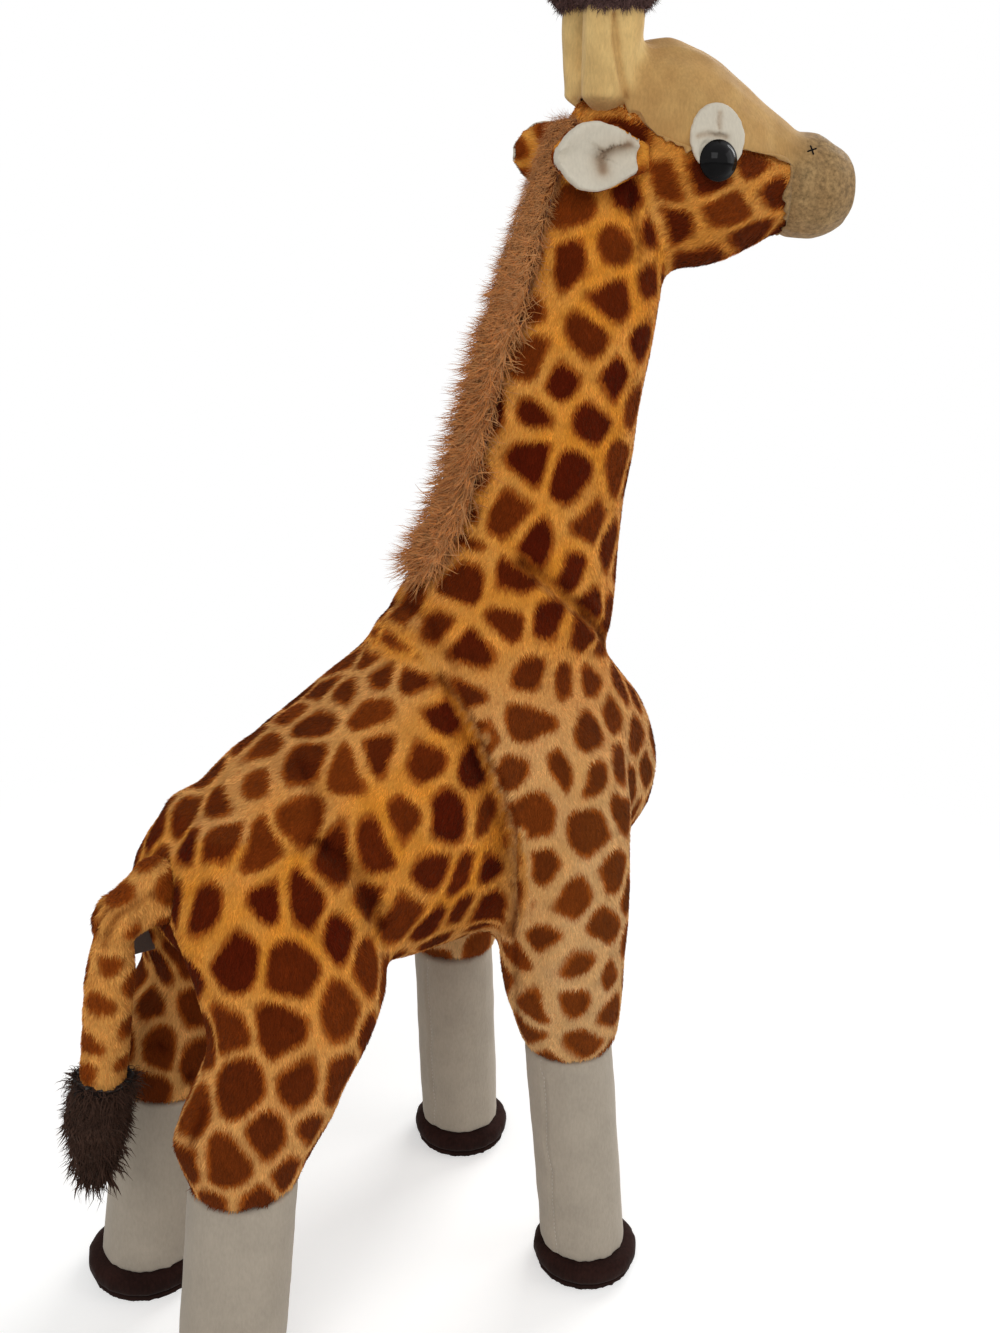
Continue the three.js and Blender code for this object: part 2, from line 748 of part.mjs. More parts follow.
// Everything a piece passes through as it turns both ways about a point
function sweptBy(geometry, pivot, axis, limit) {
  const steps = Math.ceil(limit / sweepStep);
  const turns = Array.from({ length: 2 * steps + 1 }, (_, i) => ((i - steps) / steps) * limit);
  return join(...turns.map((degrees) => solidOf(swung(geometry, pivot, axis, degrees))));
}

// Ribbon

// A band folded into a loop that stands out backwards, with both ends sewn into the leg
function ribbonSolid(grow = 0) {
  const outer = ribbon.loop / 2 + grow;
  const inner = ribbon.loop / 2 - ribbon.thickness - grow;
  const fold = -ribbon.length + ribbon.loop / 2;
  const end = ribbon.sink + grow;
  const outline = new THREE.Shape()
    .moveTo(end, -outer)
    .lineTo(end, -inner)
    .lineTo(fold, -inner)
    .absarc(fold, 0, inner, -Math.PI / 2, -Math.PI * 3 / 2, true)
    .lineTo(end, inner)
    .lineTo(end, outer)
    .lineTo(fold, outer)
    .absarc(fold, 0, outer, Math.PI / 2, Math.PI * 3 / 2, false)
    .closePath();
  const foot = legMiddle("rear", 1, torso.middle + ribbon.rise);
  const from = new THREE.Vector3(foot.x, foot.y - ribbon.inwards, foot.z);
  const seam = leaving([skinOf(thighSolid("rear", 1))], from, forward.clone().negate()).point;
  const geometry = new THREE.ExtrudeGeometry(outline, {
    depth: ribbon.width + 2 * grow, bevelEnabled: false, curveSegments: domeRings * 2,
  });
  return solidOf(geometry.translate(seam.x, seam.y, seam.z - ribbon.width / 2 - grow));
}

// Assembly: the larger piece cuts the smaller at each seam

const giraffe = new THREE.Group();
giraffe.name = "plush_giraffe";

function add(name, solid, material) {
  giraffe.add(meshOf(name, solid, material));
}

const ends = [["left", 1], ["right", -1]];
const torsoSeam = torsoSolid(seamGap);
const neckSeam = neckSolid(seamGap);
const headSeam = headSolid(seamGap);
const earTools = ends.map(([, side]) => earRootSolid(earFrame(side), swingGap));

add("torso", cut(
  torsoSolid(), rootBall(swingGap), sweptBy(tailRootTube(swingGap), rootPivot, up, tailRoot.sway),
), spotted);
add("neck", cut(neckSolid(), torsoSeam, headSeam, ...earTools), spotted);

for (const kind of ["front", "rear"]) {
  for (const [name, side] of ends) {
    const thigh = cut(thighSolid(kind, side), torsoSeam, neckSeam);
    const tools = kind === "rear" && side > 0 ? [ribbonSolid(seamGap)] : [];
    add(`${kind}_${name}_upper_leg`, cut(thigh, ...tools), spotted);
    add(`${kind}_${name}_lower_leg`, shinSolid(kind, side), white);
    add(`${kind}_${name}_hoof`, hoofSolid(kind, side), hoofBrown);
    add(`${kind}_${name}_sole`, soleSolid(kind, side), soleBrown);
  }
}

const eyeTools = ends.flatMap(([, side]) => {
  const frame = eyeFrame(side);
  return [eyeSolid(frame, seamGap), washerSolid(frame, seamGap)];
});
add("cheeks", cut(headSolid(), browSolid(seamGap), ...eyeTools, ...earTools), spotted);
add("forehead", cut(common(headSolid(), browSolid()), ...eyeTools, ...earTools), tan);
add("muzzle", cut(muzzleSolid(), headSeam), muzzleTan);

for (const [name, side] of ends) {
  add(`${name}_horn`, cut(hornSolid(side), neckSeam, headSeam), tan);
  add(`${name}_horn_tuft`, cut(hornCapSolid(side), hornSolid(side, seamGap)), capBrown);

  const ears = earFrame(side);
  const back = join(earLeaf(ears, -ear.back / 2, ear.back / 2, 0), earRootSolid(ears));
  const lining = earLeaf(ears, ear.back / 2 + seamGap, ear.back / 2 + seamGap + ear.lining, ear.rim);
  add(`${name}_ear_back`, back, spotted);
  add(`${name}_ear_lining`, lining, white);

  const frame = eyeFrame(side);
  add(`${name}_eye`, eyeSolid(frame), eyeBlack);
  add(`${name}_eye_washer`, cut(washerSolid(frame), eyeSolid(frame, seamGap)), washerWhite);
  add(`${name}_eye_patch`, cut(patchSolid(side), eyeSolid(frame, seamGap)), white);
}

const hornSeams = ends.map(([, side]) => hornSolid(side, seamGap));
add("mane", cut(maneSolid(), torsoSeam, neckSeam, headSeam, ...hornSeams), maneBrown);

add("tail_root", cut(
  join(rootBall(), solidOf(tailRootTube())),
  ball(tail.ball, creasePivot, swingGap), sweptBy(tailTube(swingGap), creasePivot, left, tail.swing),
), spotted);
add("tail", join(ball(tail.ball, creasePivot), solidOf(tailTube())), spotted);
add("tail_tuft", cut(tuftSolid(), solidOf(tailTube(seamGap))), tuftBrown);

add("ribbon_loop", ribbonSolid(), ribbonGrey);

// The origin is brought to the floor, at the middle of the space that the toy takes
const space = new THREE.Box3().setFromObject(giraffe);
const middle = space.getCenter(new THREE.Vector3());
for (const piece of giraffe.children) piece.geometry.translate(-middle.x, -middle.y, -space.min.z);

export default giraffe;
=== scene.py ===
# %% [markdown]
# # A plush giraffe, dressed for the camera
#
# The measured model gives every piece its place. This lesson gives each piece its looks: stuffed
# forms with seams, short pile, long fur, polished eyes, and the thread that holds it all.

# %% Load the measured model
import json
import math
import random

import bmesh
import bpy
from mathutils import Matrix, Vector, noise
from mathutils.bvhtree import BVHTree
from mathutils.kdtree import KDTree

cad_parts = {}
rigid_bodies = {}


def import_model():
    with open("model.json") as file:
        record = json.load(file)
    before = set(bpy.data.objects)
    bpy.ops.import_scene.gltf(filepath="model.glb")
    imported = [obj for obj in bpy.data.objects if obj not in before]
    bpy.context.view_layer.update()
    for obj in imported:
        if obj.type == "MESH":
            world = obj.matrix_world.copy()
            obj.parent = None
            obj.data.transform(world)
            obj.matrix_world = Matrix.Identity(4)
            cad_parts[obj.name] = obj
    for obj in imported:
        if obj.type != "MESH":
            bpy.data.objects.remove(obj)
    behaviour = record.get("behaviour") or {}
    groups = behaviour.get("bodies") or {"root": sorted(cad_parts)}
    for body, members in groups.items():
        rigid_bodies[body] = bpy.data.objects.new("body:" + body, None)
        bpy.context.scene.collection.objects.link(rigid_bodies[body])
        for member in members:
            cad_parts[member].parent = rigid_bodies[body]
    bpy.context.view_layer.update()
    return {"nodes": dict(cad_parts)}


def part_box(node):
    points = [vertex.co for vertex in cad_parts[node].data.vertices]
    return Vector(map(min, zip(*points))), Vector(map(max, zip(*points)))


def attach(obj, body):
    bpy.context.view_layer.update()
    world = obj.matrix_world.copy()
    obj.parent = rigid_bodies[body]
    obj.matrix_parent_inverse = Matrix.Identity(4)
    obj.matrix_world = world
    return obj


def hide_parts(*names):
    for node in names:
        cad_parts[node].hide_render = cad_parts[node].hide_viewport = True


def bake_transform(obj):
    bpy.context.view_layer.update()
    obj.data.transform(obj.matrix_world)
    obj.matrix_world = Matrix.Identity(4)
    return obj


MM = 0.001
UP = Vector((0, 0, 1))
NOISE_SEED = 7
noise.seed_set(NOISE_SEED)   # without it noise_vector, which bends the print, differs from run to run
for leftover in list(bpy.data.objects):
    bpy.data.objects.remove(leftover)
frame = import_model()
nodes = frame["nodes"]
scene = bpy.context.scene


def put(target, **values):
    """Sets some properties of a thing."""
    for key, value in values.items():
        setattr(target, key, value)
    return target


def link(name, data):
    """A new object in the scene."""
    obj = bpy.data.objects.new(name, data)
    scene.collection.objects.link(obj)
    return obj


print("pieces in the measured model:", len(nodes))

# %% [markdown]
# ## The camera
#
# The camera stands where the photographer stood: a little above the head, beside and behind the
# shoulder. Its place was worked out from the hooves, hems and head in the photograph. A camera looks
# along its own -Z with +Y up, so its matrix is built from three directions.

# %% Camera
CAMERA_PLACE = Vector((-368.0, -613.3, 594.6)) * MM
TURN, TILT, ROLL = (math.radians(angle) for angle in (33.12, -19.52, 1.10))
LENS_MM = 40.67
SENSOR_MM = 36.0
look = Vector((math.sin(TURN) * math.cos(TILT), math.cos(TURN) * math.cos(TILT), math.sin(TILT)))
level = Vector((math.cos(TURN), -math.sin(TURN), 0.0))
above = level.cross(look)
right = math.cos(ROLL) * level + math.sin(ROLL) * above
up = math.cos(ROLL) * above - math.sin(ROLL) * level
lens = put(bpy.data.cameras.new("camera"), sensor_fit="VERTICAL", sensor_height=SENSOR_MM, lens=LENS_MM)
camera = link("camera", lens)
camera.matrix_world = Matrix.Translation(CAMERA_PLACE) @ Matrix((right, up, -look)).transposed().to_4x4()
scene.camera = camera
print("camera stands at", tuple(round(c, 3) for c in camera.location))

# %% [markdown]
# ## Nodes in few words
#
# Materials and fur are both made of nodes, and most of them are a few kinds. Each gets a short name.

# %% Node helpers
def node_maker(tree):
    """A short way to add a node to a tree: its type, its inputs and its settings. An input is a value
    or the socket that it is joined to. It gives one output of the node, or all of them for None."""
    def make(kind, inputs=None, out=0, **settings):
        node = put(tree.nodes.new(kind), **settings)
        for key, value in (inputs or {}).items():
            if isinstance(value, bpy.types.NodeSocket):
                tree.links.new(value, node.inputs[key])
            else:
                node.inputs[key].default_value = value
        return node.outputs if out is None else node.outputs[out]
    return make


def maths(make, kind, *values):
    """The number that a maths node makes of its values."""
    return make("ShaderNodeMath", dict(enumerate(values)), operation=kind)


def ranged(make, value, low, high, to_low=0.0, to_high=1.0, kind="LINEAR"):
    """A number carried from one range to another."""
    inputs = {"Value": value, "From Min": low, "From Max": high, "To Min": to_low, "To Max": to_high}
    return make("ShaderNodeMapRange", inputs, interpolation_type=kind)


def speckle(make, place, scale, detail=2.0, roughness=0.5):
    """Noise over a place, about 0.5."""
    return make("ShaderNodeTexNoise", {"Vector": place, "Scale": scale, "Detail": detail, "Roughness": roughness},
                "Fac")


def stored(make, name, out="Fac"):
    """A value that each point of a piece carries."""
    return make("ShaderNodeAttribute", None, out, attribute_name=name)


def mixed(make, factor, first, second, mode="MIX"):
    """Two colours mixed by a factor."""
    return make("ShaderNodeMix", {0: factor, 6: first, 7: second}, 2, data_type="RGBA", blend_type=mode)


def node_group(name, kind, inputs, output):
    """A new group with its node maker and its inputs, each of them given by name, type and value."""
    group = bpy.data.node_groups.new(name, kind)
    for label, socket_type, value in inputs:
        socket = group.interface.new_socket(label, in_out="INPUT", socket_type="NodeSocket" + socket_type)
        if value is not None:
            socket.default_value = value
    group.interface.new_socket(output, in_out="OUTPUT", socket_type="NodeSocket" + output)
    make = node_maker(group)
    return group, make, make("NodeGroupInput", None, None)


print("node helpers ready")

# %% [markdown]
# ## Floor, backdrop and light
#
# A pale floor takes the shadow. The world is white for the camera and for reflections, and only
# dimly lit for everything else, so the white comes from the colour and not from more light. Three
# large soft lamps stand round the toy, as in a plain product studio.

# %% Floor, world and lamps
WHITE = (1, 1, 1, 1)
FLOOR_GREY = (0.80, 0.80, 0.79, 1)
WORLD_LIGHT = 0.42
FLOOR_SIDE = 12.0
FLOOR_GLOW = 0.42
FLOOR_FADE = (0.25, 0.75)
LAMP_AIM = Vector((0, 0, 0.3))
LAMPS = {
    "key": ((-1.5, -1.6, 2.0), 1.5, 25.0),
    "fill": ((1.7, -1.2, 1.1), 1.6, 10.0),
    "window": ((1.8, 0.8, 1.3), 1.3, 26.0),
}


def make_world():
    """White to the camera and in gloss, dim to everything else."""
    world = bpy.data.worlds.new("studio")
    world.use_nodes = True
    world.node_tree.nodes.clear()
    make = node_maker(world.node_tree)
    path = make("ShaderNodeLightPath", None, None)
    seen = maths(make, "MAXIMUM", path["Is Camera Ray"], path["Is Glossy Ray"])
    seen = maths(make, "MAXIMUM", seen, path["Is Transmission Ray"])
    dim, white = (make("ShaderNodeBackground", {"Color": WHITE, "Strength": light}) for light in (WORLD_LIGHT, 1.0))
    make("ShaderNodeOutputWorld", {"Surface": make("ShaderNodeMixShader", {0: seen, 1: dim, 2: white})}, None)
    scene.world = world


def make_floor():
    """A large floor that is white to the camera except where the toy shades it."""
    mesh = bpy.data.meshes.new("floor")
    half = FLOOR_SIDE / 2
    mesh.from_pydata([(-half, -half, 0), (half, -half, 0), (half, half, 0), (-half, half, 0)], [], [(0, 1, 2, 3)])
    floor = link("floor", mesh)
    material = bpy.data.materials.new("floor_paper")
    material.use_nodes = True
    material.node_tree.nodes.clear()
    make = node_maker(material.node_tree)
    paper = make("ShaderNodeBsdfDiffuse", {"Color": FLOOR_GREY})
    glow, white = (make("ShaderNodeEmission", {"Color": WHITE, "Strength": light}) for light in (FLOOR_GLOW, 1.0))
    near_toy = make("ShaderNodeAddShader", {0: paper, 1: glow})
    away = make("ShaderNodeVectorMath", {0: make("ShaderNodeTexCoord", None, "Object")}, "Value", operation="LENGTH")
    fade = ranged(make, away, *FLOOR_FADE, kind="SMOOTHSTEP")
    seen = make("ShaderNodeMixShader", {0: fade, 1: near_toy, 2: white})
    to_camera = make("ShaderNodeLightPath", None, "Is Camera Ray")
    make("ShaderNodeOutputMaterial",
         {"Surface": make("ShaderNodeMixShader", {0: to_camera, 1: paper, 2: seen})}, None)
    mesh.materials.append(material)


make_world()
make_floor()
for name, (place, side, watts) in LAMPS.items():
    lamp = link(name, put(bpy.data.lights.new(name, "AREA"), size=side, energy=watts))
    put(lamp, location=place, rotation_euler=(LAMP_AIM - Vector(place)).to_track_quat("-Z", "Y").to_euler())
scene.view_settings.view_transform = "Standard"
print("lamps:", ", ".join(LAMPS))

# %% [markdown]
# ## Colours
#
# All colours are written as they look in the photograph and turned into the linear values that
# Blender's shaders work in.

# %% Colours
def shade(red, green, blue):
    """A colour as seen on a screen, 0 to 255, as the linear colour that shaders use."""
    def linear(value):
        value /= 255
        return value / 12.92 if value <= 0.04045 else ((value + 0.055) / 1.055) ** 2.4
    return (linear(red), linear(green), linear(blue), 1.0)


def toned(colour, factor, lift=0.0):
    """A colour made darker or lighter."""
    return tuple(min(1.0, c * factor + lift) for c in colour[:3]) + (1.0,)


COAT_ORANGE = shade(234, 155, 52)
COAT_PALE = shade(226, 182, 128)
COAT_LIGHT = shade(240, 184, 106)
SPOT_DARK = shade(90, 24, 5)
SPOT_RIM = shade(166, 84, 24)
SPOT_PALE = shade(122, 60, 20)
SPOT_WARM = shade(150, 70, 18)
TAN = shade(212, 172, 110)
MUZZLE_TAN = shade(166, 138, 96)
print("colours ready")

# %% [markdown]
# ## The print of the coat
#
# The coat of this giraffe is printed, not pieced: dark rounded patches between lighter lines. A
# Voronoi texture makes such cells, but in space, so a skin that cuts a cell near its wall shows only
# a smudge. Here the middles of the patches are strewn over the skin itself, further down, and each
# point of the skin stores how far it lies from the line between two patches, as "edge", in metres.
# This group turns that distance into the patch, its warm rim and the line, and frays them with fine
# noise as the pile does. A strand of pile carries the values of its root, so it has the colour of the
# cloth that it grows from.

# %% The print as a node group
PRINT_LINE = 3.4 * MM
PRINT_SOFT = 1.5 * MM
PRINT_RIM = 2.6 * MM
PRINT_FRAY = 1.6 * MM
PRINT_INPUTS = (("Place", "Vector", None), ("Edge", "Float", None), ("Pale", "Float", None), ("Faint", "Float", None))


def make_print_group():
    """Colour of the printed pile from the distance to the patch's edge, in metres."""
    group, make, given = node_group("giraffe_print", "ShaderNodeTree", PRINT_INPUTS, "Color")
    edge, pale = given["Edge"], given["Pale"]
    for scale, reach in ((330.0, PRINT_FRAY), (1300.0, 0.4 * PRINT_FRAY)):
        around = maths(make, "SUBTRACT", speckle(make, given["Place"], scale, 1.0), 0.5)
        edge = maths(make, "MULTIPLY_ADD", around, reach, edge)

    def step(low, high):
        return ranged(make, edge, low, high, kind="SMOOTHSTEP")

    washed = ranged(make, speckle(make, given["Place"], 38.0), 0.35, 0.75, 0.0, 0.45)
    ground = mixed(make, washed, mixed(make, pale, COAT_ORANGE, COAT_PALE), COAT_LIGHT)
    heart = mixed(make, given["Faint"], mixed(make, pale, SPOT_DARK, SPOT_PALE), SPOT_WARM)
    patch = mixed(make, step(PRINT_LINE + PRINT_SOFT, PRINT_LINE + PRINT_RIM), SPOT_RIM, heart)
    whole = mixed(make, step(PRINT_LINE - PRINT_SOFT, PRINT_LINE + PRINT_SOFT), ground, patch)
    make("NodeGroupOutput", {"Color": whole}, None)
    return group


PRINT = make_print_group()
print("the line between two patches is", round(2 * PRINT_LINE / MM, 1), "mm wide")

# %% [markdown]
# ## Cloths and furs
#
# Pile scatters light at grazing angles, which the shader's sheen gives. Its roughness is high and
# its mirror shine is low. Every cloth also gets uneven dye, streaks along the pile and a fine bump.
# A strand's own material is lighter at the tip than at the root, and a little different from strand
# to strand, because a fur of one flat colour looks like plastic.

# %% Materials
# How much faster green and blue fall than red in the painted shade of folds, so that it is a warm dark.
FOLD_SHADE_WARMTH = (1.0, 1.4, 1.7)


def new_material(name, roughness, sheen, specular, tint=(1.0, 0.96, 0.9, 1.0)):
    """A material with values that are even all over, its node maker, and a way to join its shader."""
    material = bpy.data.materials.new(name)
    material.use_nodes = True
    tree = material.node_tree
    shader = tree.nodes["Principled BSDF"].inputs
    for key, value in (("Roughness", roughness), ("Sheen Weight", sheen), ("Sheen Roughness", 0.45),
                       ("Sheen Tint", tint), ("Specular IOR Level", specular)):
        shader[key].default_value = value
    return material, node_maker(tree), lambda key, socket: tree.links.new(socket, shader[key])


def with_fold_shade(make, colour, level, depth):
    """A colour times a level, darkened by painted shade towards a warm dark where a point's stored fold value is
    high.
    """
    fold = stored(make, "fold")
    left = [maths(make, "MULTIPLY", maths(make, "POWER", math.exp(-warmth * depth), fold), level)
            for warmth in FOLD_SHADE_WARMTH]
    return mixed(make, 1.0, colour, make("ShaderNodeCombineColor", dict(enumerate(left))), "MULTIPLY")


def cloth_material(name, colour, pile=900.0, streak=(1.0, 1.0, 0.35), uneven=0.10, sheen=0.2, dusk=None):
    """Short plain pile: uneven dye, fine streaks along the nap and a bump from the same streaks."""
    material, make, join = new_material(name, 0.88, sheen, 0.07)
    place = make("ShaderNodeTexCoord", None, "Object")
    fine = speckle(make, make("ShaderNodeMapping", {"Vector": place, "Scale": streak}), pile, 3.0, 0.6)
    both = maths(make, "ADD", fine, speckle(make, place, 55.0, 3.0))
    dyed = mixed(make, ranged(make, both, 0.7, 1.3), toned(colour, 1 - 1.9 * uneven), toned(colour, 1 + uneven))
    if dusk is not None:
        curls = ranged(make, speckle(make, place, 420.0, 3.0, 0.7), 0.3, 0.7)
        dyed = mixed(make, stored(make, "dusk"), dyed, mixed(make, curls, toned(dusk, 0.55), toned(dusk, 1.45)))
    join("Base Color", with_fold_shade(make, dyed, 1.0, 0.85))
    join("Normal", make("ShaderNodeBump", {"Height": fine, "Strength": 0.35, "Distance": 0.5 * MM}))
    return material


def printed_material(name, strand):
    """The printed coat, as the cloth under the pile or as the pile itself."""
    material, make, join = new_material(name, 0.86, 0.12 if strand else 0.02, 0.04, (1.0, 0.7, 0.4, 1.0))
    place = stored(make, "place", "Vector")
    values = {label: stored(make, label.lower()) for label in ("Edge", "Pale", "Faint")}
    dyed = make("ShaderNodeGroup", {"Place": place, **values}, node_tree=PRINT)
    if strand:
        level = ranged(make, stored(make, "tone"), 0.0, 1.0, 0.88, 1.22)
        rise = ranged(make, stored(make, "along"), 0.0, 1.0, 0.86, 1.08)
        clump = ranged(make, speckle(make, place, 110.0), 0.3, 0.7, 0.84, 1.1)
        total = maths(make, "MULTIPLY", maths(make, "MULTIPLY", level, rise), clump)
    else:
        grain = speckle(make, place, 1100.0)
        total = ranged(make, grain, 0.0, 1.0, 0.72, 1.02)
        join("Normal", make("ShaderNodeBump", {"Height": grain, "Strength": 0.5, "Distance": 0.6 * MM}))
    join("Base Color", with_fold_shade(make, dyed, total, 2.2))
    return material


def fur_material(name, root, tip, warm=None):
    """Long fur: dark at the root, lighter at the tip, with a tone of its own for each strand."""
    material, make, join = new_material(name, 0.78, 0.08, 0.08, (1.0, 0.85, 0.7, 1.0))
    strand = mixed(make, stored(make, "along"), root, tip)
    dyed = mixed(make, stored(make, "tone"), strand, mixed(make, 0.55, strand, warm or toned(tip, 0.7)))
    clump = speckle(make, make("ShaderNodeTexCoord", None, "Object"), 260.0)
    join("Base Color", with_fold_shade(make, dyed, ranged(make, clump, 0.3, 0.7, 0.72, 1.14), 1.6))
    return material


def gloss_material(name, colour, roughness, shine=0.5):
    """Moulded plastic with faint swirls in its polish."""
    material, make, join = new_material(name, roughness, 0.0, shine)
    swirl = speckle(make, make("ShaderNodeTexCoord", None, "Object"), 300.0)
    join("Roughness", ranged(make, swirl, 0.0, 1.0, roughness * 0.7, roughness * 1.5))
    join("Base Color", mixed(make, swirl, colour, toned(colour, 1.5, 0.002)))
    return material


coat_cloth = printed_material("printed_coat", strand=False)
coat_pile = printed_material("printed_pile", strand=True)
tan_cloth = cloth_material("tan_cloth", TAN, dusk=MUZZLE_TAN)
# The ear linings, the eye patches and the socks are one white cloth in two colours: lighter on the ears and patches
# as painted light from above, and darker on the socks as painted shade.
white_cloth_in_light = cloth_material("white_cloth_in_light", shade(216, 207, 189), uneven=0.05)
white_cloth_in_shade = cloth_material("white_cloth_in_shade", shade(178, 166, 150), uneven=0.06)
hoof_cloth = cloth_material("hoof_cloth", shade(45, 26, 22), pile=700.0, uneven=0.22, sheen=0.06)
sole_cloth = cloth_material("sole_cloth", shade(46, 29, 25), uneven=0.18, sheen=0.04)
mane_fur = fur_material("mane_fur", shade(136, 68, 20), shade(252, 200, 140), shade(232, 138, 52))
cap_fur = fur_material("cap_fur", shade(64, 40, 38), shade(128, 98, 94))
tuft_fur = fur_material("tuft_fur", shade(18, 8, 5), shade(92, 66, 54))
mane_under, cap_under, tuft_under = (
    cloth_material(name, colour, pile=500.0, uneven=0.25)
    for name, colour in (("mane_under", shade(120, 62, 22)), ("cap_under", shade(46, 30, 28)),
                         ("tuft_under", shade(22, 13, 11))))
eye_black = gloss_material("eye_black", shade(8, 7, 8), 0.08, shine=0.10)
washer_plastic = gloss_material("washer_plastic", shade(215, 215, 210), 0.4)
ribbon_cloth = cloth_material("ribbon_cloth", shade(104, 94, 88), pile=1400.0, streak=(1.0, 1.0, 3.0), uneven=0.12)
thread_black = cloth_material("thread_black", shade(24, 22, 22), pile=2500.0, uneven=0.2, sheen=0.0)
thread_white = cloth_material("thread_white", shade(206, 199, 188), pile=2500.0, uneven=0.1, sheen=0.0)
print("materials:", len(bpy.data.materials))

# %% [markdown]
# ## Helpers for stuffed forms
#
# A stuffed form is a closed bag of cloth that fibre pushes out, so it has no sharp edges and no flat
# faces, and it is drawn in wherever thread holds it. It could be sculpted by hand. Here it starts
# from the measured solids, so it sits where the real piece sits: the solids are joined by a voxel
# remesh into one even skin, smoothed, and then drawn in along the folds. The coat is also blown up a
# little by the cloth solver, with its seams held.

# %% Skins from measured solids
# The wider, fainter halo of painted shade beside each fold: its width as a multiple, and its share.
HALO = 2.4
HALO_SHARE = 0.22


def applied(obj):
    """Turns the object's modifiers into plain mesh."""
    graph = bpy.context.evaluated_depsgraph_get()
    mesh = bpy.data.meshes.new_from_object(obj.evaluated_get(graph), preserve_all_data_layers=True, depsgraph=graph)
    old = obj.data
    obj.modifiers.clear()
    obj.data = mesh
    mesh.name = obj.name
    bpy.data.meshes.remove(old)
    return obj


def from_shape(name, shape):
    """A new object from a drawn shape, which isn't needed any more."""
    mesh = bpy.data.meshes.new(name)
    shape.to_mesh(mesh)
    shape.free()
    return link(name, mesh)


def rounded(obj):
    """Shades every face smoothly."""
    obj.data.polygons.foreach_set("use_smooth", [True] * len(obj.data.polygons))
    return obj


def merged(name, grow=0.0):
    """A copy of one measured piece with its loose triangles joined, grown a little on request."""
    shape = bmesh.new()
    shape.from_mesh(nodes[name].data)
    bmesh.ops.remove_doubles(shape, verts=shape.verts, dist=0.01 * MM)
    shape.normal_update()
    for vert in shape.verts:
        vert.co += vert.normal * grow
    return shape


def skin(name, pieces, voxel, rounds=3, grow=0.4 * MM, close=0.0):
    """One even closed skin over several measured pieces. It is made too large by close and drawn back,
    which fills the sharp valleys between the pieces as cloth does."""
    together = bmesh.new()
    for piece in pieces:
        shape = merged(piece, grow + close)
        mesh = bpy.data.meshes.new("shell")
        shape.to_mesh(mesh)
        shape.free()
        together.from_mesh(mesh)
        bpy.data.meshes.remove(mesh)
    obj = from_shape(name, together)
    put(obj.modifiers.new("remesh", "REMESH"), mode="VOXEL", voxel_size=voxel, use_smooth_shade=True)
    put(obj.modifiers.new("soften", "SMOOTH"), factor=0.5, iterations=rounds)
    applied(obj)
    for _ in range(3 if close else 0):
        moved(obj, lambda co, normal: normal * (-close / 3))
    return obj


def subdivided(obj):
    """Divides every face into four and rounds them."""
    put(obj.modifiers.new("finer", "SUBSURF"), levels=1, render_levels=1)
    return rounded(applied(obj))


def moved(obj, step):
    """Moves every point by step(point, normal), a vector."""
    mesh = obj.data
    normals = [Vector(n.vector) for n in mesh.vertex_normals]
    for vert, normal in zip(mesh.vertices, normals):
        vert.co += step(vert.co, normal)
    mesh.update()


def surface(obj):
    """A search tree of the object's surface as it is now."""
    mesh = obj.data
    return BVHTree.FromPolygons([v.co.copy() for v in mesh.vertices], [list(p.vertices) for p in mesh.polygons])


def tree_of(points):
    """A search tree of points."""
    tree = KDTree(len(points))
    for index, point in enumerate(points):
        tree.insert(point, index)
    tree.balance()
    return tree


def lumps(obj, height, size, seed=0.0):
    """Fibre never fills a toy evenly, so the skin swells and sinks a little."""
    shift = Vector((seed, 2 * seed, 3 * seed))
    moved(obj, lambda co, normal: normal * height * noise.noise(co / size + shift))


def points_along(path, step=1.2 * MM):
    """Points set closely along a path."""
    points = []
    for start, end in zip(path, path[1:]):
        count = max(1, int((end - start).length / step))
        points += [start.lerp(end, index / count) for index in range(count)]
    return points + [path[-1]]


def beside(path, fade):
    """For a point: the nearest place on a path, how far it is, and how strong the path is there. A path
    fades over a share of its length at both ends."""
    points = points_along(path)
    tree, long_fade = tree_of(points), fade * len(points) + 1

    def look_up(co):
        place, index, distance = tree.find(co)
        return place, distance, min(1.0, (index + 1) / long_fade, (len(points) - index) / long_fade)
    return look_up


def drawn_in(obj, path, depth, width, lip=0.3):
    """Draws the skin in along a path, as a thread or a fold does, with a soft swell beside it."""
    look_up = beside(path, 0.15)

    def step(co, normal):
        _, distance, strength = look_up(co)
        reach = distance / width
        if reach > 4:
            return Vector()
        return normal * strength * depth * (lip * math.exp(-(reach - 2) ** 2) - math.exp(-reach * reach))
    moved(obj, step)


def stepped(obj, path, rise, drop, reach, toward, facing=None):
    """Lays one side of a path over the other: the side that lies toward a direction swells, and the
    other side sinks under it. A thin piece is only changed on the side that is facing one way."""
    look_up = beside(path, 0.2)

    def step(co, normal):
        place, distance, strength = look_up(co)
        if distance > 4 * reach or (facing is not None and normal.dot(facing) < 0.2):
            return Vector()
        over = smoothstep(-0.8 * MM, 2.2 * MM, (co - place).dot(toward))
        swell = rise * over * math.exp(-(distance / (1.4 * reach)) ** 2)
        sink = drop * (1 - over) * math.exp(-(distance / reach) ** 2)
        return normal * strength * (swell - sink)
    moved(obj, step)


def mark(obj, name, values, kind="FLOAT"):
    """Stores one value for each point of a piece."""
    attribute = obj.data.attributes.new(name, kind, "POINT")
    flat = [c for value in values for c in value] if kind == "FLOAT_VECTOR" else values
    attribute.data.foreach_set("vector" if kind == "FLOAT_VECTOR" else "value", flat)


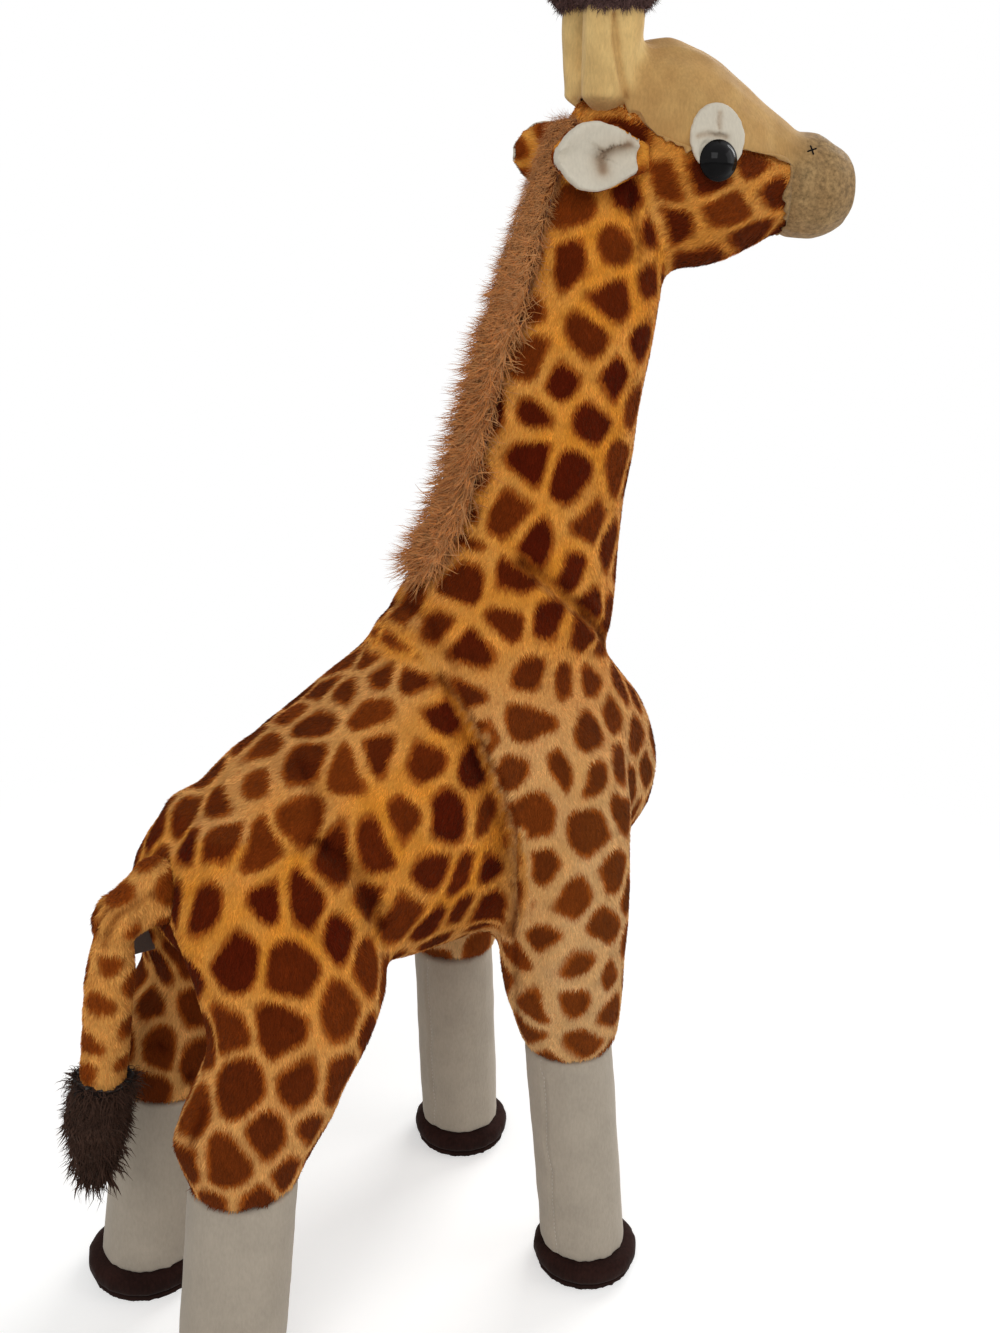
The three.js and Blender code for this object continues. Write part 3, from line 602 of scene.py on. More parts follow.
def paint_shade_in_folds(obj, lines, ground=lambda vert: 0.0):
    """Stores painted shade for each point, from 0 to 1: dark along the lines of folds and seams, where shade falls,
    with a wider and fainter halo. Each line is a path, a width and a share. The ground is what the rest has."""
    points = [(point, width, share) for path, width, share in lines for point in points_along(path)]
    tree = tree_of([point for point, _, _ in points])
    values = []
    for vert in obj.data.vertices:
        _, index, distance = tree.find(vert.co)
        _, width, share = points[index]
        reach = (distance / width) ** 2
        values.append(ground(vert) + share * ((1 - HALO_SHARE) * math.exp(-reach)
                                              + HALO_SHARE * math.exp(-reach / HALO ** 2)))
    mark(obj, "fold", values)


def smoothstep(low, high, value):
    """Rises softly from 0 at low to 1 at high."""
    share = min(1.0, max(0.0, (value - low) / (high - low)))
    return share * share * (3 - 2 * share)


# %% [markdown]
# ## Places taken from the photograph
#
# A fold that shows in the photograph is placed by looking through the camera: a ray from the camera
# through the fold's place in the picture meets the skin at the fold. The toy is alike on both sides,
# so each fold is also mirrored to the side that the photograph hides.

# %% Looking through the camera
PICTURE = (1000, 1333)
PICTURE_FOCUS = LENS_MM / SENSOR_MM * PICTURE[1]


def through(x, y):
    """The direction from the camera through a place in the picture."""
    across = (x - PICTURE[0] / 2) / PICTURE_FOCUS
    up = (PICTURE[1] / 2 - y) / PICTURE_FOCUS
    return (camera.matrix_world.to_3x3() @ Vector((across, up, -1))).normalized()


def traced(tree, places):
    """The path on a skin that lies behind places in the picture."""
    hits = (tree.ray_cast(camera.matrix_world.translation, through(x, y))[0] for x, y in places)
    return [hit for hit in hits if hit is not None]


def mirrored(tree, path):
    """The same path on the other side of the toy."""
    return [tree.find_nearest(Vector((point.x, -point.y, point.z)))[0] for point in path]


bpy.context.view_layer.update()
print("focus in picture widths:", round(PICTURE_FOCUS / PICTURE[0], 3))

# %% [markdown]
# ## The cloth solver
#
# The coat starts slightly smaller than the toy and is blown up for a few frames by the cloth solver,
# with no weight on it. Points on a seam are held, so the cloth crowns between seams and keeps its
# crease along them. No point may travel further than a cap, so the toy keeps its size.

# %% Blowing up a skin
STUFFING_FRAMES = 14
STUFFING = {"quality": 4, "mass": 0.2, "tension_stiffness": 12, "compression_stiffness": 12,
            "bending_stiffness": 0.8, "use_pressure": True, "uniform_pressure_force": 4.0}
LEAST_HOLD = 0.02


def stuffed(obj, shrink, cap, held):
    """Shrinks a skin and lets the cloth solver fill it, holding the points that have a weight."""
    moved(obj, lambda co, normal: normal * -shrink)
    start = [vert.co.copy() for vert in obj.data.vertices]
    cloth = obj.modifiers.new("stuffing", "CLOTH")
    put(cloth.settings, **STUFFING).effector_weights.gravity = 0
    cloth.collision_settings.use_collision = False
    put(cloth.point_cache, frame_start=1, frame_end=STUFFING_FRAMES)
    group = obj.vertex_groups.new(name="held")
    for index, weight in enumerate(held):
        if weight > LEAST_HOLD:
            group.add([index], min(1.0, weight), "REPLACE")
    cloth.settings.vertex_group_mass = "held"
    for frame_number in range(1, STUFFING_FRAMES + 1):
        scene.frame_set(frame_number)
    applied(obj)
    scene.frame_set(1)
    longest = 0.0
    for vert, before in zip(obj.data.vertices, start):
        travel = vert.co - before
        length = travel.length
        longest = max(longest, length)
        if length > 1e-9:
            vert.co = before + travel * (cap * math.tanh(length / cap) / length)
    obj.vertex_groups.clear()
    obj.data.update()
    print(obj.name, "was filled; its longest travel before the cap was", round(longest / MM, 1), "mm")


def finished(obj, body, material, stands_for):
    """Gives a piece its material and its body if it has only one, and hides the measured pieces that it stands for.
    """
    obj.data.materials.clear()
    obj.data.materials.append(material)
    if body:
        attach(obj, body)
    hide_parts(*stands_for)
    return obj


print("stuffing runs for", STUFFING_FRAMES, "frames")

# %% [markdown]
# ## The body coat
#
# The printed coat is one bag of cloth: the body, the neck, the upper legs and the cheeks are sewn
# to each other and stuffed together. It is made as one skin. A point that lies between two measured
# pieces is on a seam, so it is held while the coat fills. The upper hind legs run into the
# rump without a crease, so there the hold is weak behind and firm only in front. The bag runs on
# under the tan cloth of the face and sinks there, so that no gap opens along the face's edge.

# %% Body coat
LEGS = [f"{end}_{side}" for end in ("front", "rear") for side in ("left", "right")]
COAT_PIECES = ["torso", "neck", "cheeks"] + [f"{leg}_upper_leg" for leg in LEGS]
UNDER_PIECES = ["forehead", "muzzle"]
COAT_VOXEL = 3.7 * MM
COAT_CLOSE = 3.0 * MM
COAT_SHRINK = 1.8 * MM
COAT_CAP = 2.6 * MM
SEAM_REACH = 3.0 * MM
NECK_HOLD = 0.3
PILE_LAP = 1.4 * MM
UNDER_DEPTH = 4.0 * MM


def nearest_of(obj, pieces):
    """For each point: the nearest of some measured pieces, and how far away it is."""
    corners, faces, owners = [], [], []
    for piece in pieces:
        shape = merged(piece)
        shape.verts.index_update()
        start = len(corners)
        corners += [vert.co.copy() for vert in shape.verts]
        faces += [[start + vert.index for vert in face.verts] for face in shape.faces]
        owners += [piece] * len(shape.faces)
        shape.free()
    tree = BVHTree.FromPolygons(corners, faces)
    found = [tree.find_nearest(vert.co) for vert in obj.data.vertices]
    return [(owners[index], distance) for _, _, index, distance in found]


def shares(obj, pieces):
    """For each point: the nearest measured piece, the next one, and how much nearer the first is."""
    rows = [[distance for _, distance in nearest_of(obj, [piece])] for piece in pieces]
    found = []
    for row in zip(*rows):
        order = sorted(zip(row, pieces))
        found.append((order[0][1], order[1][1], order[1][0] - order[0][0]))
    return found


def seam_hold(first, second, lead, co):
    """How firmly the seam between two pieces holds a point of the coat."""
    firm = math.exp(-(lead / SEAM_REACH) ** 2)
    pair = {first, second}
    if "torso" in pair and any(name.startswith("rear") for name in pair):
        return firm * smoothstep(-110 * MM, -85 * MM, co.x)
    if any(name.startswith("front") for name in pair) and "cheeks" not in pair:
        return firm * smoothstep(48 * MM, 20 * MM, co.x)
    return firm * NECK_HOLD if pair == {"torso", "neck"} else firm


coat = skin("body_coat", COAT_PIECES + UNDER_PIECES, COAT_VOXEL, rounds=4, close=COAT_CLOSE)
coat_shares = shares(coat, COAT_PIECES + UNDER_PIECES)
coat_hold = [seam_hold(*row, vert.co) for row, vert in zip(coat_shares, coat.data.vertices)]
stuffed(coat, COAT_SHRINK, COAT_CAP, coat_hold)
print("coat points:", len(coat.data.vertices), "held:", sum(1 for weight in coat_hold if weight > 0.5))

# %% [markdown]
# The deep folds of the coat come next: behind the shoulder, across the foot of the neck, in front of
# the thigh, and the small ones beside the tail. They could be left to the solver, but then they fall
# where they like. Here each follows the fold in the photograph: its places in the picture, its depth
# and its width in millimetres.

# %% Folds of the coat
FOLDS = {
    "shoulder": (((441, 676), (458, 702), (475, 728), (497, 782), (512, 828), (515, 880), (513, 930)), 3.4, 2.6),
    "shoulder_top": (((400, 600), (430, 620), (455, 665)), 1.0, 5.0),
    "neck_foot": (((520, 560), (552, 585), (577, 606), (604, 640)), 4.2, 3.4),
    "thigh": (((316, 838), (345, 862), (366, 890), (382, 925), (396, 962)), 4.0, 4.0),
    "flank": (((300, 760), (318, 800), (318, 838)), 0.9, 5.0),
    "rump": (((152, 862), (160, 900), (160, 935)), 1.6, 3.5),
    "hock": (((190, 1075), (205, 1110), (192, 1140)), 1.4, 4.0),
    "knee": (((515, 945), (505, 985), (520, 1020)), 1.0, 4.0),
    "jaw": (((632, 190), (634, 215), (641, 250)), 1.4, 2.2),
}
SHOULDER_STEP = (2.6 * MM, 5.5 * MM, 10.0 * MM)
SHOULDER_TOWARD = Vector((0.93, 0.0, 0.36))
SHOULDER_SHADE = Vector((-5.0, 0.0, -1.5)) * MM
SHADE_WIDTH = (0.8, 0.35)
SHADE_DEPTH = (0.24, 0.95)
HOLLOW, HOLLOW_DEPTH, HOLLOW_REACH = (142, 982), 8.0 * MM, 16.0 * MM
coat_tree = surface(coat)
shoulder = traced(coat_tree, FOLDS["shoulder"][0])
for path in (shoulder, mirrored(coat_tree, shoulder)):
    stepped(coat, path, *SHOULDER_STEP, SHOULDER_TOWARD)
for middle in traced(coat_tree, (HOLLOW,)):
    moved(coat, lambda co, normal:
          normal * -HOLLOW_DEPTH * math.exp(-((co - middle).length / HOLLOW_REACH) ** 2))
lumps(coat, 1.1 * MM, 26 * MM, 1.7)
subdivided(coat)
coat_tree = surface(coat)
# Each fold of the coat also gets painted shade in the colour of its pile, darker the deeper the fold.
coat_fold_shades = []
for places, depth, width in FOLDS.values():
    path = traced(coat_tree, places)
    if len(path) > 1:
        for line in (path, mirrored(coat_tree, path)):
            drawn_in(coat, line, depth * MM, width * MM)
            coat_fold_shades.append((line, (SHADE_WIDTH[0] + SHADE_WIDTH[1] * width) * MM,
                               min(SHADE_DEPTH[1], SHADE_DEPTH[0] * depth)))
# Two wider lines of painted shade on the body's side of the shoulder seam, where the leg panel shades it.
for line in (shoulder, mirrored(coat_tree, shoulder)):
    for share in (0.35, 0.75):
        coat_fold_shades.append(([place + SHOULDER_SHADE * share for place in line[2:]], 2.8 * MM, 0.9))
paint_shade_in_folds(coat, coat_fold_shades)
print("coat after its folds:", len(coat.data.polygons), "faces")

# %% [markdown]
# ## Strewing the patches
#
# The middles of the patches are strewn at random over the faces of the skin, and one that falls too
# close to another is dropped. That keeps them apart by about one patch, without the order of a grid.
# Each sewn panel has its own patches, so the print doesn't match across the shoulder seam, the neck
# seam or the cheek, just as on the toy. The nearest two middles of a point give its distance to the
# line between them. A slow noise bends the place first, so the patches aren't straight-sided.

# %% Patches of the print
PATCH_APART = {"body": 21.5, "neck": 21.0, "face": 20.5, "fore": 22.5, "tail": 17.0, "ear": 16.0}
PATCH_SWELL = {"body": 2.2, "neck": 1.6, "face": 2.3, "fore": 1.3, "tail": 1.2, "ear": 1.2}
PATCH_PRESS = {"body": (1.1, 1.1, 0.8), "neck": (1, 1, 0.95), "face": (0.76, 0.8, 1.25)}
PATCH_FAINT = {"tail": 0.8, "ear": 0.6}
PATCH_UNEVEN = (0.86, 1.12)
PATCH_INSET = 2.4 * MM
PATCH_REACH, PATCH_FALL = 0.66, 0.78
NEIGHBOURS = 5
BEND_SIZE = 17 * MM
BEND_REACH = 4.2 * MM
ROUND = 1.5 * MM
SEAM_EDGE = 1.1 * MM


def strewn(centres, apart, seed):
    """Middles of patches among the given places, none nearer to another than a patch or so."""
    dice = random.Random(seed)
    order = list(centres)
    dice.shuffle(order)
    cell = apart * MM
    kept, grid = [], {}
    for place in order:
        key = tuple(int(math.floor(c / cell)) for c in place)
        reach = cell * dice.uniform(*PATCH_UNEVEN)
        around = [other for dx in (-1, 0, 1) for dy in (-1, 0, 1) for dz in (-1, 0, 1)
                  for other in grid.get((key[0] + dx, key[1] + dy, key[2] + dz), ())]
        if all((place - other).length > reach for other in around):
            grid.setdefault(key, []).append(place)
            kept.append(place)
    return kept


def bent(co, panel):
    """A place moved a little by slow noise, and pressed so that patches are long one way."""
    return (co + BEND_REACH * noise.noise_vector(co / BEND_SIZE)) * Vector(PATCH_PRESS.get(panel, (1, 1, 1)))


def print_on(obj, panel_of, pale_of, seed):
    """Stores place, edge, pale and faint for each point of a printed piece."""
    mesh = obj.data
    panels = [panel_of(index) for index in range(len(mesh.vertices))]
    middles = {}
    for polygon in mesh.polygons:
        panel = panels[polygon.vertices[0]]
        middles.setdefault(panel, []).append(bent(polygon.center, panel))
    trees = {}
    for number, panel in enumerate(sorted(middles)):
        kept = strewn(middles[panel], PATCH_APART[panel], seed + number)
        dice = random.Random(seed + 50 + number)
        trees[panel] = (tree_of(kept), [dice.random() ** 2 for _ in kept],
                        [PATCH_INSET * dice.random() ** 3 for _ in kept])
    seams = [(mesh.vertices[a].co + mesh.vertices[b].co) / 2 for a, b in (edge.vertices for edge in mesh.edges)
             if panels[a] != panels[b]]
    border = tree_of(seams)
    edges, pales, faints = [], [], []
    for vert, panel in zip(mesh.vertices, panels):
        tree, tones, insets = trees[panel]
        first, *others = tree.find_n(bent(vert.co, panel), NEIGHBOURS)
        walls = [(other[2] ** 2 - first[2] ** 2) / (2 * max((other[0] - first[0]).length, 0.1 * MM))
                 for other in others]
        walls.append(PATCH_REACH * PATCH_APART[panel] * MM - PATCH_FALL * first[2])
        nearest = min(walls)
        edge = nearest - ROUND * math.log(sum(math.exp((nearest - wall) / ROUND) for wall in walls))
        edge = edge + PATCH_SWELL[panel] * MM - insets[first[1]]
        if seams:
            edge = min(edge, SEAM_EDGE + border.find(vert.co)[2])
        edges.append(edge)
        faints.append(max(0.7 * tones[first[1]], PATCH_FAINT.get(panel, 0.0)))
        pales.append(pale_of(vert))
    mark(obj, "place", [tuple(vert.co) for vert in mesh.vertices], "FLOAT_VECTOR")
    for name, values in (("edge", edges), ("pale", pales), ("faint", faints)):
        mark(obj, name, values)
    print(obj.name, "has", sum(len(tones) for _, tones, _ in trees.values()), "patches")


SHOULDER, COLLAR = ([Vector((p.x, abs(p.y), p.z)) for p in traced(surface(coat), FOLDS[name][0])]
                    for name in ("shoulder", "neck_foot"))


def crossing(line, height):
    """How far forward a line that falls is at some height, straight on beyond its ends."""
    for upper, lower in zip(line, line[1:]):
        if height >= lower.z or lower is line[-1]:
            share = (upper.z - height) / max(upper.z - lower.z, 1e-6)
            return upper.x + (lower.x - upper.x) * min(1.3, max(-1.5, share))
    return line[-1].x


def on_fore_panel(co):
    """Whether a point lies in front of the shoulder seam and below the fold at the foot of the neck."""
    first, last = COLLAR[0], COLLAR[-1]
    collar = first.z + (co.x - first.x) * (last.z - first.z) / (last.x - first.x)
    return 130 * MM < co.z < collar and co.x > crossing(SHOULDER, co.z)


def coat_panel(vert, owner):
    """The fore panel runs from the shoulder seam round the chest. The neck and the face have their own."""
    if owner in ("cheeks", "face_cloth"):
        return "face"
    return "fore" if on_fore_panel(vert.co) else "neck" if owner == "neck" else "body"


coat_nearest = nearest_of(coat, COAT_PIECES)
coat_under = [over - under for (_, over), (_, under) in zip(coat_nearest, nearest_of(coat, UNDER_PIECES))]
coat_owner = ["face_cloth" if under > PILE_LAP else piece for (piece, _), under in zip(coat_nearest, coat_under)]
coat_panels = [coat_panel(vert, owner) for vert, owner in zip(coat.data.vertices, coat_owner)]


def coat_pale_and_sheen(vert):
    """The chest, the belly and the fore legs are printed on paler cloth. The side of the neck that faces forward and
    the top of the body that faces up are painted paler too, as painted sheen.
    """
    co, normal = vert.co, vert.normal
    if coat_panels[vert.index] == "face":
        return 0.1
    fore = smoothstep(10 * MM, 50 * MM, co.x + 0.25 * (330 * MM - co.z)) * smoothstep(375 * MM, 270 * MM, co.z)
    if coat_panels[vert.index] == "fore":
        fore = max(fore, 0.75 * smoothstep(385 * MM, 300 * MM, co.z))
    # Painted sheen: where the neck faces forward it is paler.
    neck = 0.6 * smoothstep(0.2, 0.9, normal.x) * smoothstep(600 * MM, 420 * MM, co.z)
    low = 0.5 * smoothstep(255 * MM, 150 * MM, co.z)
    # Painted sheen: surfaces that face up, up to the foot of the neck, are paler.
    back = 0.5 * smoothstep(0.45, 0.9, normal.z) if co.z < 400 * MM else 0.0
    return max(0.95 * fore, neck, low, back, 0.5 * smoothstep(-0.3, -0.9, normal.z))


print_on(coat, lambda index: coat_panels[index], coat_pale_and_sheen, seed=11)
sinking = iter(coat_under)
moved(coat, lambda co, normal: normal * -UNDER_DEPTH * smoothstep(-1.0 * MM, 3.5 * MM, next(sinking)))
finished(coat, "giraffe", coat_cloth, COAT_PIECES)

# %% [markdown]
# ## Head, legs and hooves
#
# The forehead, the horns and the muzzle are one plain tan cloth with no seam between them, so they
# are one skin, made too large and drawn back so that a horn runs into the brow and the brow into the
# muzzle. An attribute named "dusk" tells the material where the muzzle's darker dye begins. The lower
# legs are plain tubes, and each hoof is a low ring of brown pile with a flat sole. None of them needs
# the solver: they are small and tight, so a remesh, some smoothing and small lumps look stuffed.

# %% Plain stuffed pieces
def stuffed_plainly(name, piece, voxel, rounds, material, grow=0.3 * MM, lump=0.5):
    """A small stuffed piece. One without lumps is a flat pad, which stays as coarse as it is."""
    obj = skin(name, [piece], voxel, rounds, grow)
    if lump:
        lumps(obj, lump * MM, 16 * MM, len(name))
        subdivided(obj)
    return finished(obj, "giraffe", material, [piece])


FACE_PIECES = ["forehead", "left_horn", "right_horn", "muzzle"]
HORN_SINK = 9 * MM
NECK_TOP = Vector((96, 0, 601)) * MM
DUSK_REACH = 9 * MM
face = skin("face_and_horns", FACE_PIECES, 1.9 * MM, 5, grow=0.9 * MM, close=4.0 * MM)
lumps(face, 0.7 * MM, 14 * MM, 3.0)
subdivided(face)
face_shares = shares(face, FACE_PIECES)
horn_foot = traced(surface(face), ((604, 101),))[0].z
for vert, (first, _, _) in zip(face.data.vertices, face_shares):
    if first in ("left_horn", "right_horn"):
        inward = Vector((NECK_TOP.x - vert.co.x, NECK_TOP.y - vert.co.y, 0)).normalized()
        vert.co += inward * HORN_SINK * smoothstep(-3 * MM, 6 * MM, horn_foot - vert.co.z)
face.data.update()
mark(face, "dusk", [1 - smoothstep(-DUSK_REACH, DUSK_REACH, lead if first != "muzzle" else -lead)
                    if "muzzle" in (first, second) else 0.0 for first, second, lead in face_shares])
finished(face, "giraffe", tan_cloth, FACE_PIECES)
for leg in LEGS:
    stuffed_plainly(f"{leg}_sock", f"{leg}_lower_leg", 2.6 * MM, 2, white_cloth_in_shade, grow=0.5 * MM)
    stuffed_plainly(f"{leg}_hoof_cloth", f"{leg}_hoof", 2.0 * MM, 2, hoof_cloth, lump=0.3)
    stuffed_plainly(f"{leg}_sole_cloth", f"{leg}_sole", 1.0 * MM, 1, sole_cloth, grow=0.1 * MM,
                    lump=0)
print("plain stuffed pieces:", 1 + 3 * len(LEGS))

# %% [markdown]
# ## Ears, eye patches and eyes
#
# An ear is a printed back and a white lining, sewn edge to edge and folded at its root. An eye patch
# is a white pad under the eye, with a stitched tee. The eye is a shiny black button. It keeps the
# measured place, and is turned from a fine profile because its edge and its shine need round forms.

# %% Ears and eye patches
EAR_PLACES = {
    "left": (Vector((102.8, 26.4, 585)) * MM, Vector((-0.939, 0.345, 0)), Vector((0.345, 0.939, 0))),
    "right": (Vector((84.0, -31.4, 585)) * MM, Vector((-0.951, 0.309, 0)), Vector((-0.309, -0.951, 0))),
}
EYE_PLACES = {
    "left": (Vector((138.0, 21.7, 584)) * MM, Vector((0.332, 0.937, 0.104)).normalized()),
    "right": (Vector((115.2, -48.3, 584)) * MM, Vector((-0.283, -0.954, 0.102)).normalized()),
}
EAR_CREASE = ((640, 144), (628, 145), (615, 147), (605, 152), (601, 160), (603, 170))
PATCH_DRAWN_UP = 0.86
LINING_TUCK = 0.6 * MM
TURNED_AWAY = -0.1


def tucked_behind(lining, back_tree, outward):
    """Draws the hidden side of a lining just inside the ear's back, so that none of it shows behind."""
    def step(co, normal):
        hit, out, _, _ = back_tree.find_nearest(co)
        hidden = normal.dot(outward) < TURNED_AWAY and (co - hit).dot(out) > -LINING_TUCK
        return hit - LINING_TUCK * out - co if hidden else Vector()
    moved(lining, step)


for side in ("right", "left"):
    root, along, outward = EAR_PLACES[side]
    back = skin(f"{side}_ear_cloth", [f"{side}_ear_back"], 1.2 * MM, 2, 0.1 * MM)
    lumps(back, 0.4 * MM, 10 * MM, 2.0)
    print_on(back, lambda index: "ear", lambda vert: 0.0, seed=31)
    finished(back, f"{side}_ear", coat_cloth, [f"{side}_ear_back"])
    lining = skin(f"{side}_ear_inside", [f"{side}_ear_lining"], 0.9 * MM, 26, 2.3 * MM)
    if side == "right":
        crease = [[(hit - root).dot(axis) for axis in (along, outward, UP)]
                  for hit in traced(surface(lining), EAR_CREASE)]
    path = [root + along * u + outward * v + UP * w for u, v, w in crease]
    stepped(lining, path, 3.4 * MM, 1.6 * MM, 4.5 * MM, UP - 0.5 * along, facing=outward)
    lumps(lining, 0.5 * MM, 9 * MM, 4.0)
    tucked_behind(lining, surface(back), outward)
    # Painted shade under the rolled crease of the lining.
    paint_shade_in_folds(lining, [(path, 2.2 * MM, 0.9)])
    finished(lining, f"{side}_ear", white_cloth_in_light, [f"{side}_ear_lining"])
    patch = skin(f"{side}_eye_patch_cloth", [f"{side}_eye_patch"], 1.0 * MM, 3, 0.3 * MM)
    brim = max(vert.co.z for vert in patch.data.vertices)
    for vert in patch.data.vertices:
        vert.co.z = brim - (brim - vert.co.z) * PATCH_DRAWN_UP
    finished(patch, "giraffe", white_cloth_in_light, [f"{side}_eye_patch"])

# %% Eyes
EYE_PROFILE = ((0.0, 6.4), (2.1, 6.2), (4.1, 5.5), (5.9, 4.4), (7.4, 3.0), (8.4, 1.8), (9.0, 1.4), (9.4, 0.9),
               (9.3, 0.2), (8.4, 0.0), (2.6, 0.0), (2.4, -0.5), (2.4, -8.6), (1.9, -9.0), (0.0, -9.0))
EYE_SEAT = 1.3 * MM
EYE_TURNS = 40


def turned(name, profile, place, axis, turns):
    """A closed body of revolution about an axis, from (radius, height) pairs in millimetres."""
    to_axis = UP.rotation_difference(axis).to_matrix()
    shape = bmesh.new()
    rings = []
    for radius, height in profile:
        steps = range(turns if radius else 1)
        angles = [2 * math.pi * turn / turns for turn in steps]
        rings.append([shape.verts.new((radius * MM * math.cos(angle), radius * MM * math.sin(angle), height * MM))
                      for angle in angles])
    for upper, lower in zip(rings, rings[1:]):
        for turn in range(turns):
            after = (turn + 1) % turns
            corners = [upper[turn % len(upper)], lower[turn % len(lower)], lower[after % len(lower)],
                       upper[after % len(upper)]]
            shape.faces.new(list(dict.fromkeys(corners)))
    for vert in shape.verts:
        vert.co = to_axis @ vert.co + place
    bmesh.ops.recalc_face_normals(shape, faces=shape.faces)
    return rounded(from_shape(name, shape))


for side, (place, axis) in EYE_PLACES.items():
    eye = turned(f"{side}_eye_button", EYE_PROFILE, place + axis * EYE_SEAT, axis, EYE_TURNS)
    finished(eye, "giraffe", eye_black, [f"{side}_eye"])
    for material_slot in nodes[f"{side}_eye_washer"].material_slots:
        material_slot.material = washer_plastic
print("eyes turned with", EYE_TURNS, "steps")

# %% [markdown]
# ## Tail
#
# The tail is one printed tube that bends over at its root. Its root can sway and its length can swing, but this one
# piece of cloth is given to neither body. Its end goes into the fur of the tuft.

# %% Tail cloth
TAIL_FOLDS = (((92, 944), (97, 928), (106, 911)), ((104, 944), (110, 926), (120, 913)),
              ((122, 912), (138, 903), (152, 893)))
TAIL_CORNER_SINK = 2.6 * MM
TAIL_CORNER_REACH = 10 * MM
tail = skin("tail_cloth", ["tail_root", "tail"], 1.7 * MM, 12, 1.0 * MM)
lumps(tail, 0.8 * MM, 11 * MM, 5.0)
subdivided(tail)
corner = max(tail.data.vertices, key=lambda vert: vert.co.z - vert.co.x).co.copy()
moved(tail, lambda co, normal: Vector((1, 0, -1)) * TAIL_CORNER_SINK
      * math.exp(-((co - corner).length / TAIL_CORNER_REACH) ** 2))
tail_tree = surface(tail)
tail_lines = [line for places in TAIL_FOLDS for line in (traced(tail_tree, places),) if len(line) > 1]
tail_lines += [mirrored(tail_tree, line) for line in tail_lines]
for line in tail_lines:
    drawn_in(tail, line, 1.3 * MM, 1.8 * MM)
# Painted shade in the tail's creases.
paint_shade_in_folds(tail, [(line, 1.3 * MM, 0.45) for line in tail_lines])
print_on(tail, lambda index: "tail", lambda vert: 0.25, seed=71)
finished(tail, None, coat_cloth, ["tail_root", "tail"])
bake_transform(tail)

# %% [markdown]
# ## Fur that grows in Geometry Nodes
#
# Fur is one small blade repeated many times, which is what Geometry Nodes are for. The tree strews
# points over a skin, turns each one so that its blade lies along the nap and stands up by the lean,
# puts a blade there with a length of its own, and makes the result real. The blade is a narrow grid
# that tapers to a point and bends. A particle hair system could do this too, but it isn't mesh, and
# the toy has to leave Blender as mesh. The same tree makes the short pile and the long fur: only the
# named inputs differ.

# %% The fur tree
FUR_INPUTS = (
    ("Geometry", "Geometry", None), ("Density", "Float", 1.0e6), ("Length", "Float", 3 * MM),
    ("Width", "Float", 0.5 * MM), ("Steps", "Int", 2), ("Lean", "Float", 0.5), ("Curl", "Float", -0.2),
    ("Messy", "Float", 0.4), ("Nap", "Vector", (0, 0, -1)), ("Wave", "Float", 0.0), ("Seed", "Int", 1),
    ("Material", "Material", None),
)


def made_real(make, instances, material):
    """The end of a tree that repeats something: real mesh with its material, as the tree's output."""
    real = make("GeometryNodeRealizeInstances", {"Geometry": instances})
    dyed = make("GeometryNodeSetMaterial", {"Geometry": real, "Material": material})
    make("NodeGroupOutput", {"Geometry": dyed}, None)


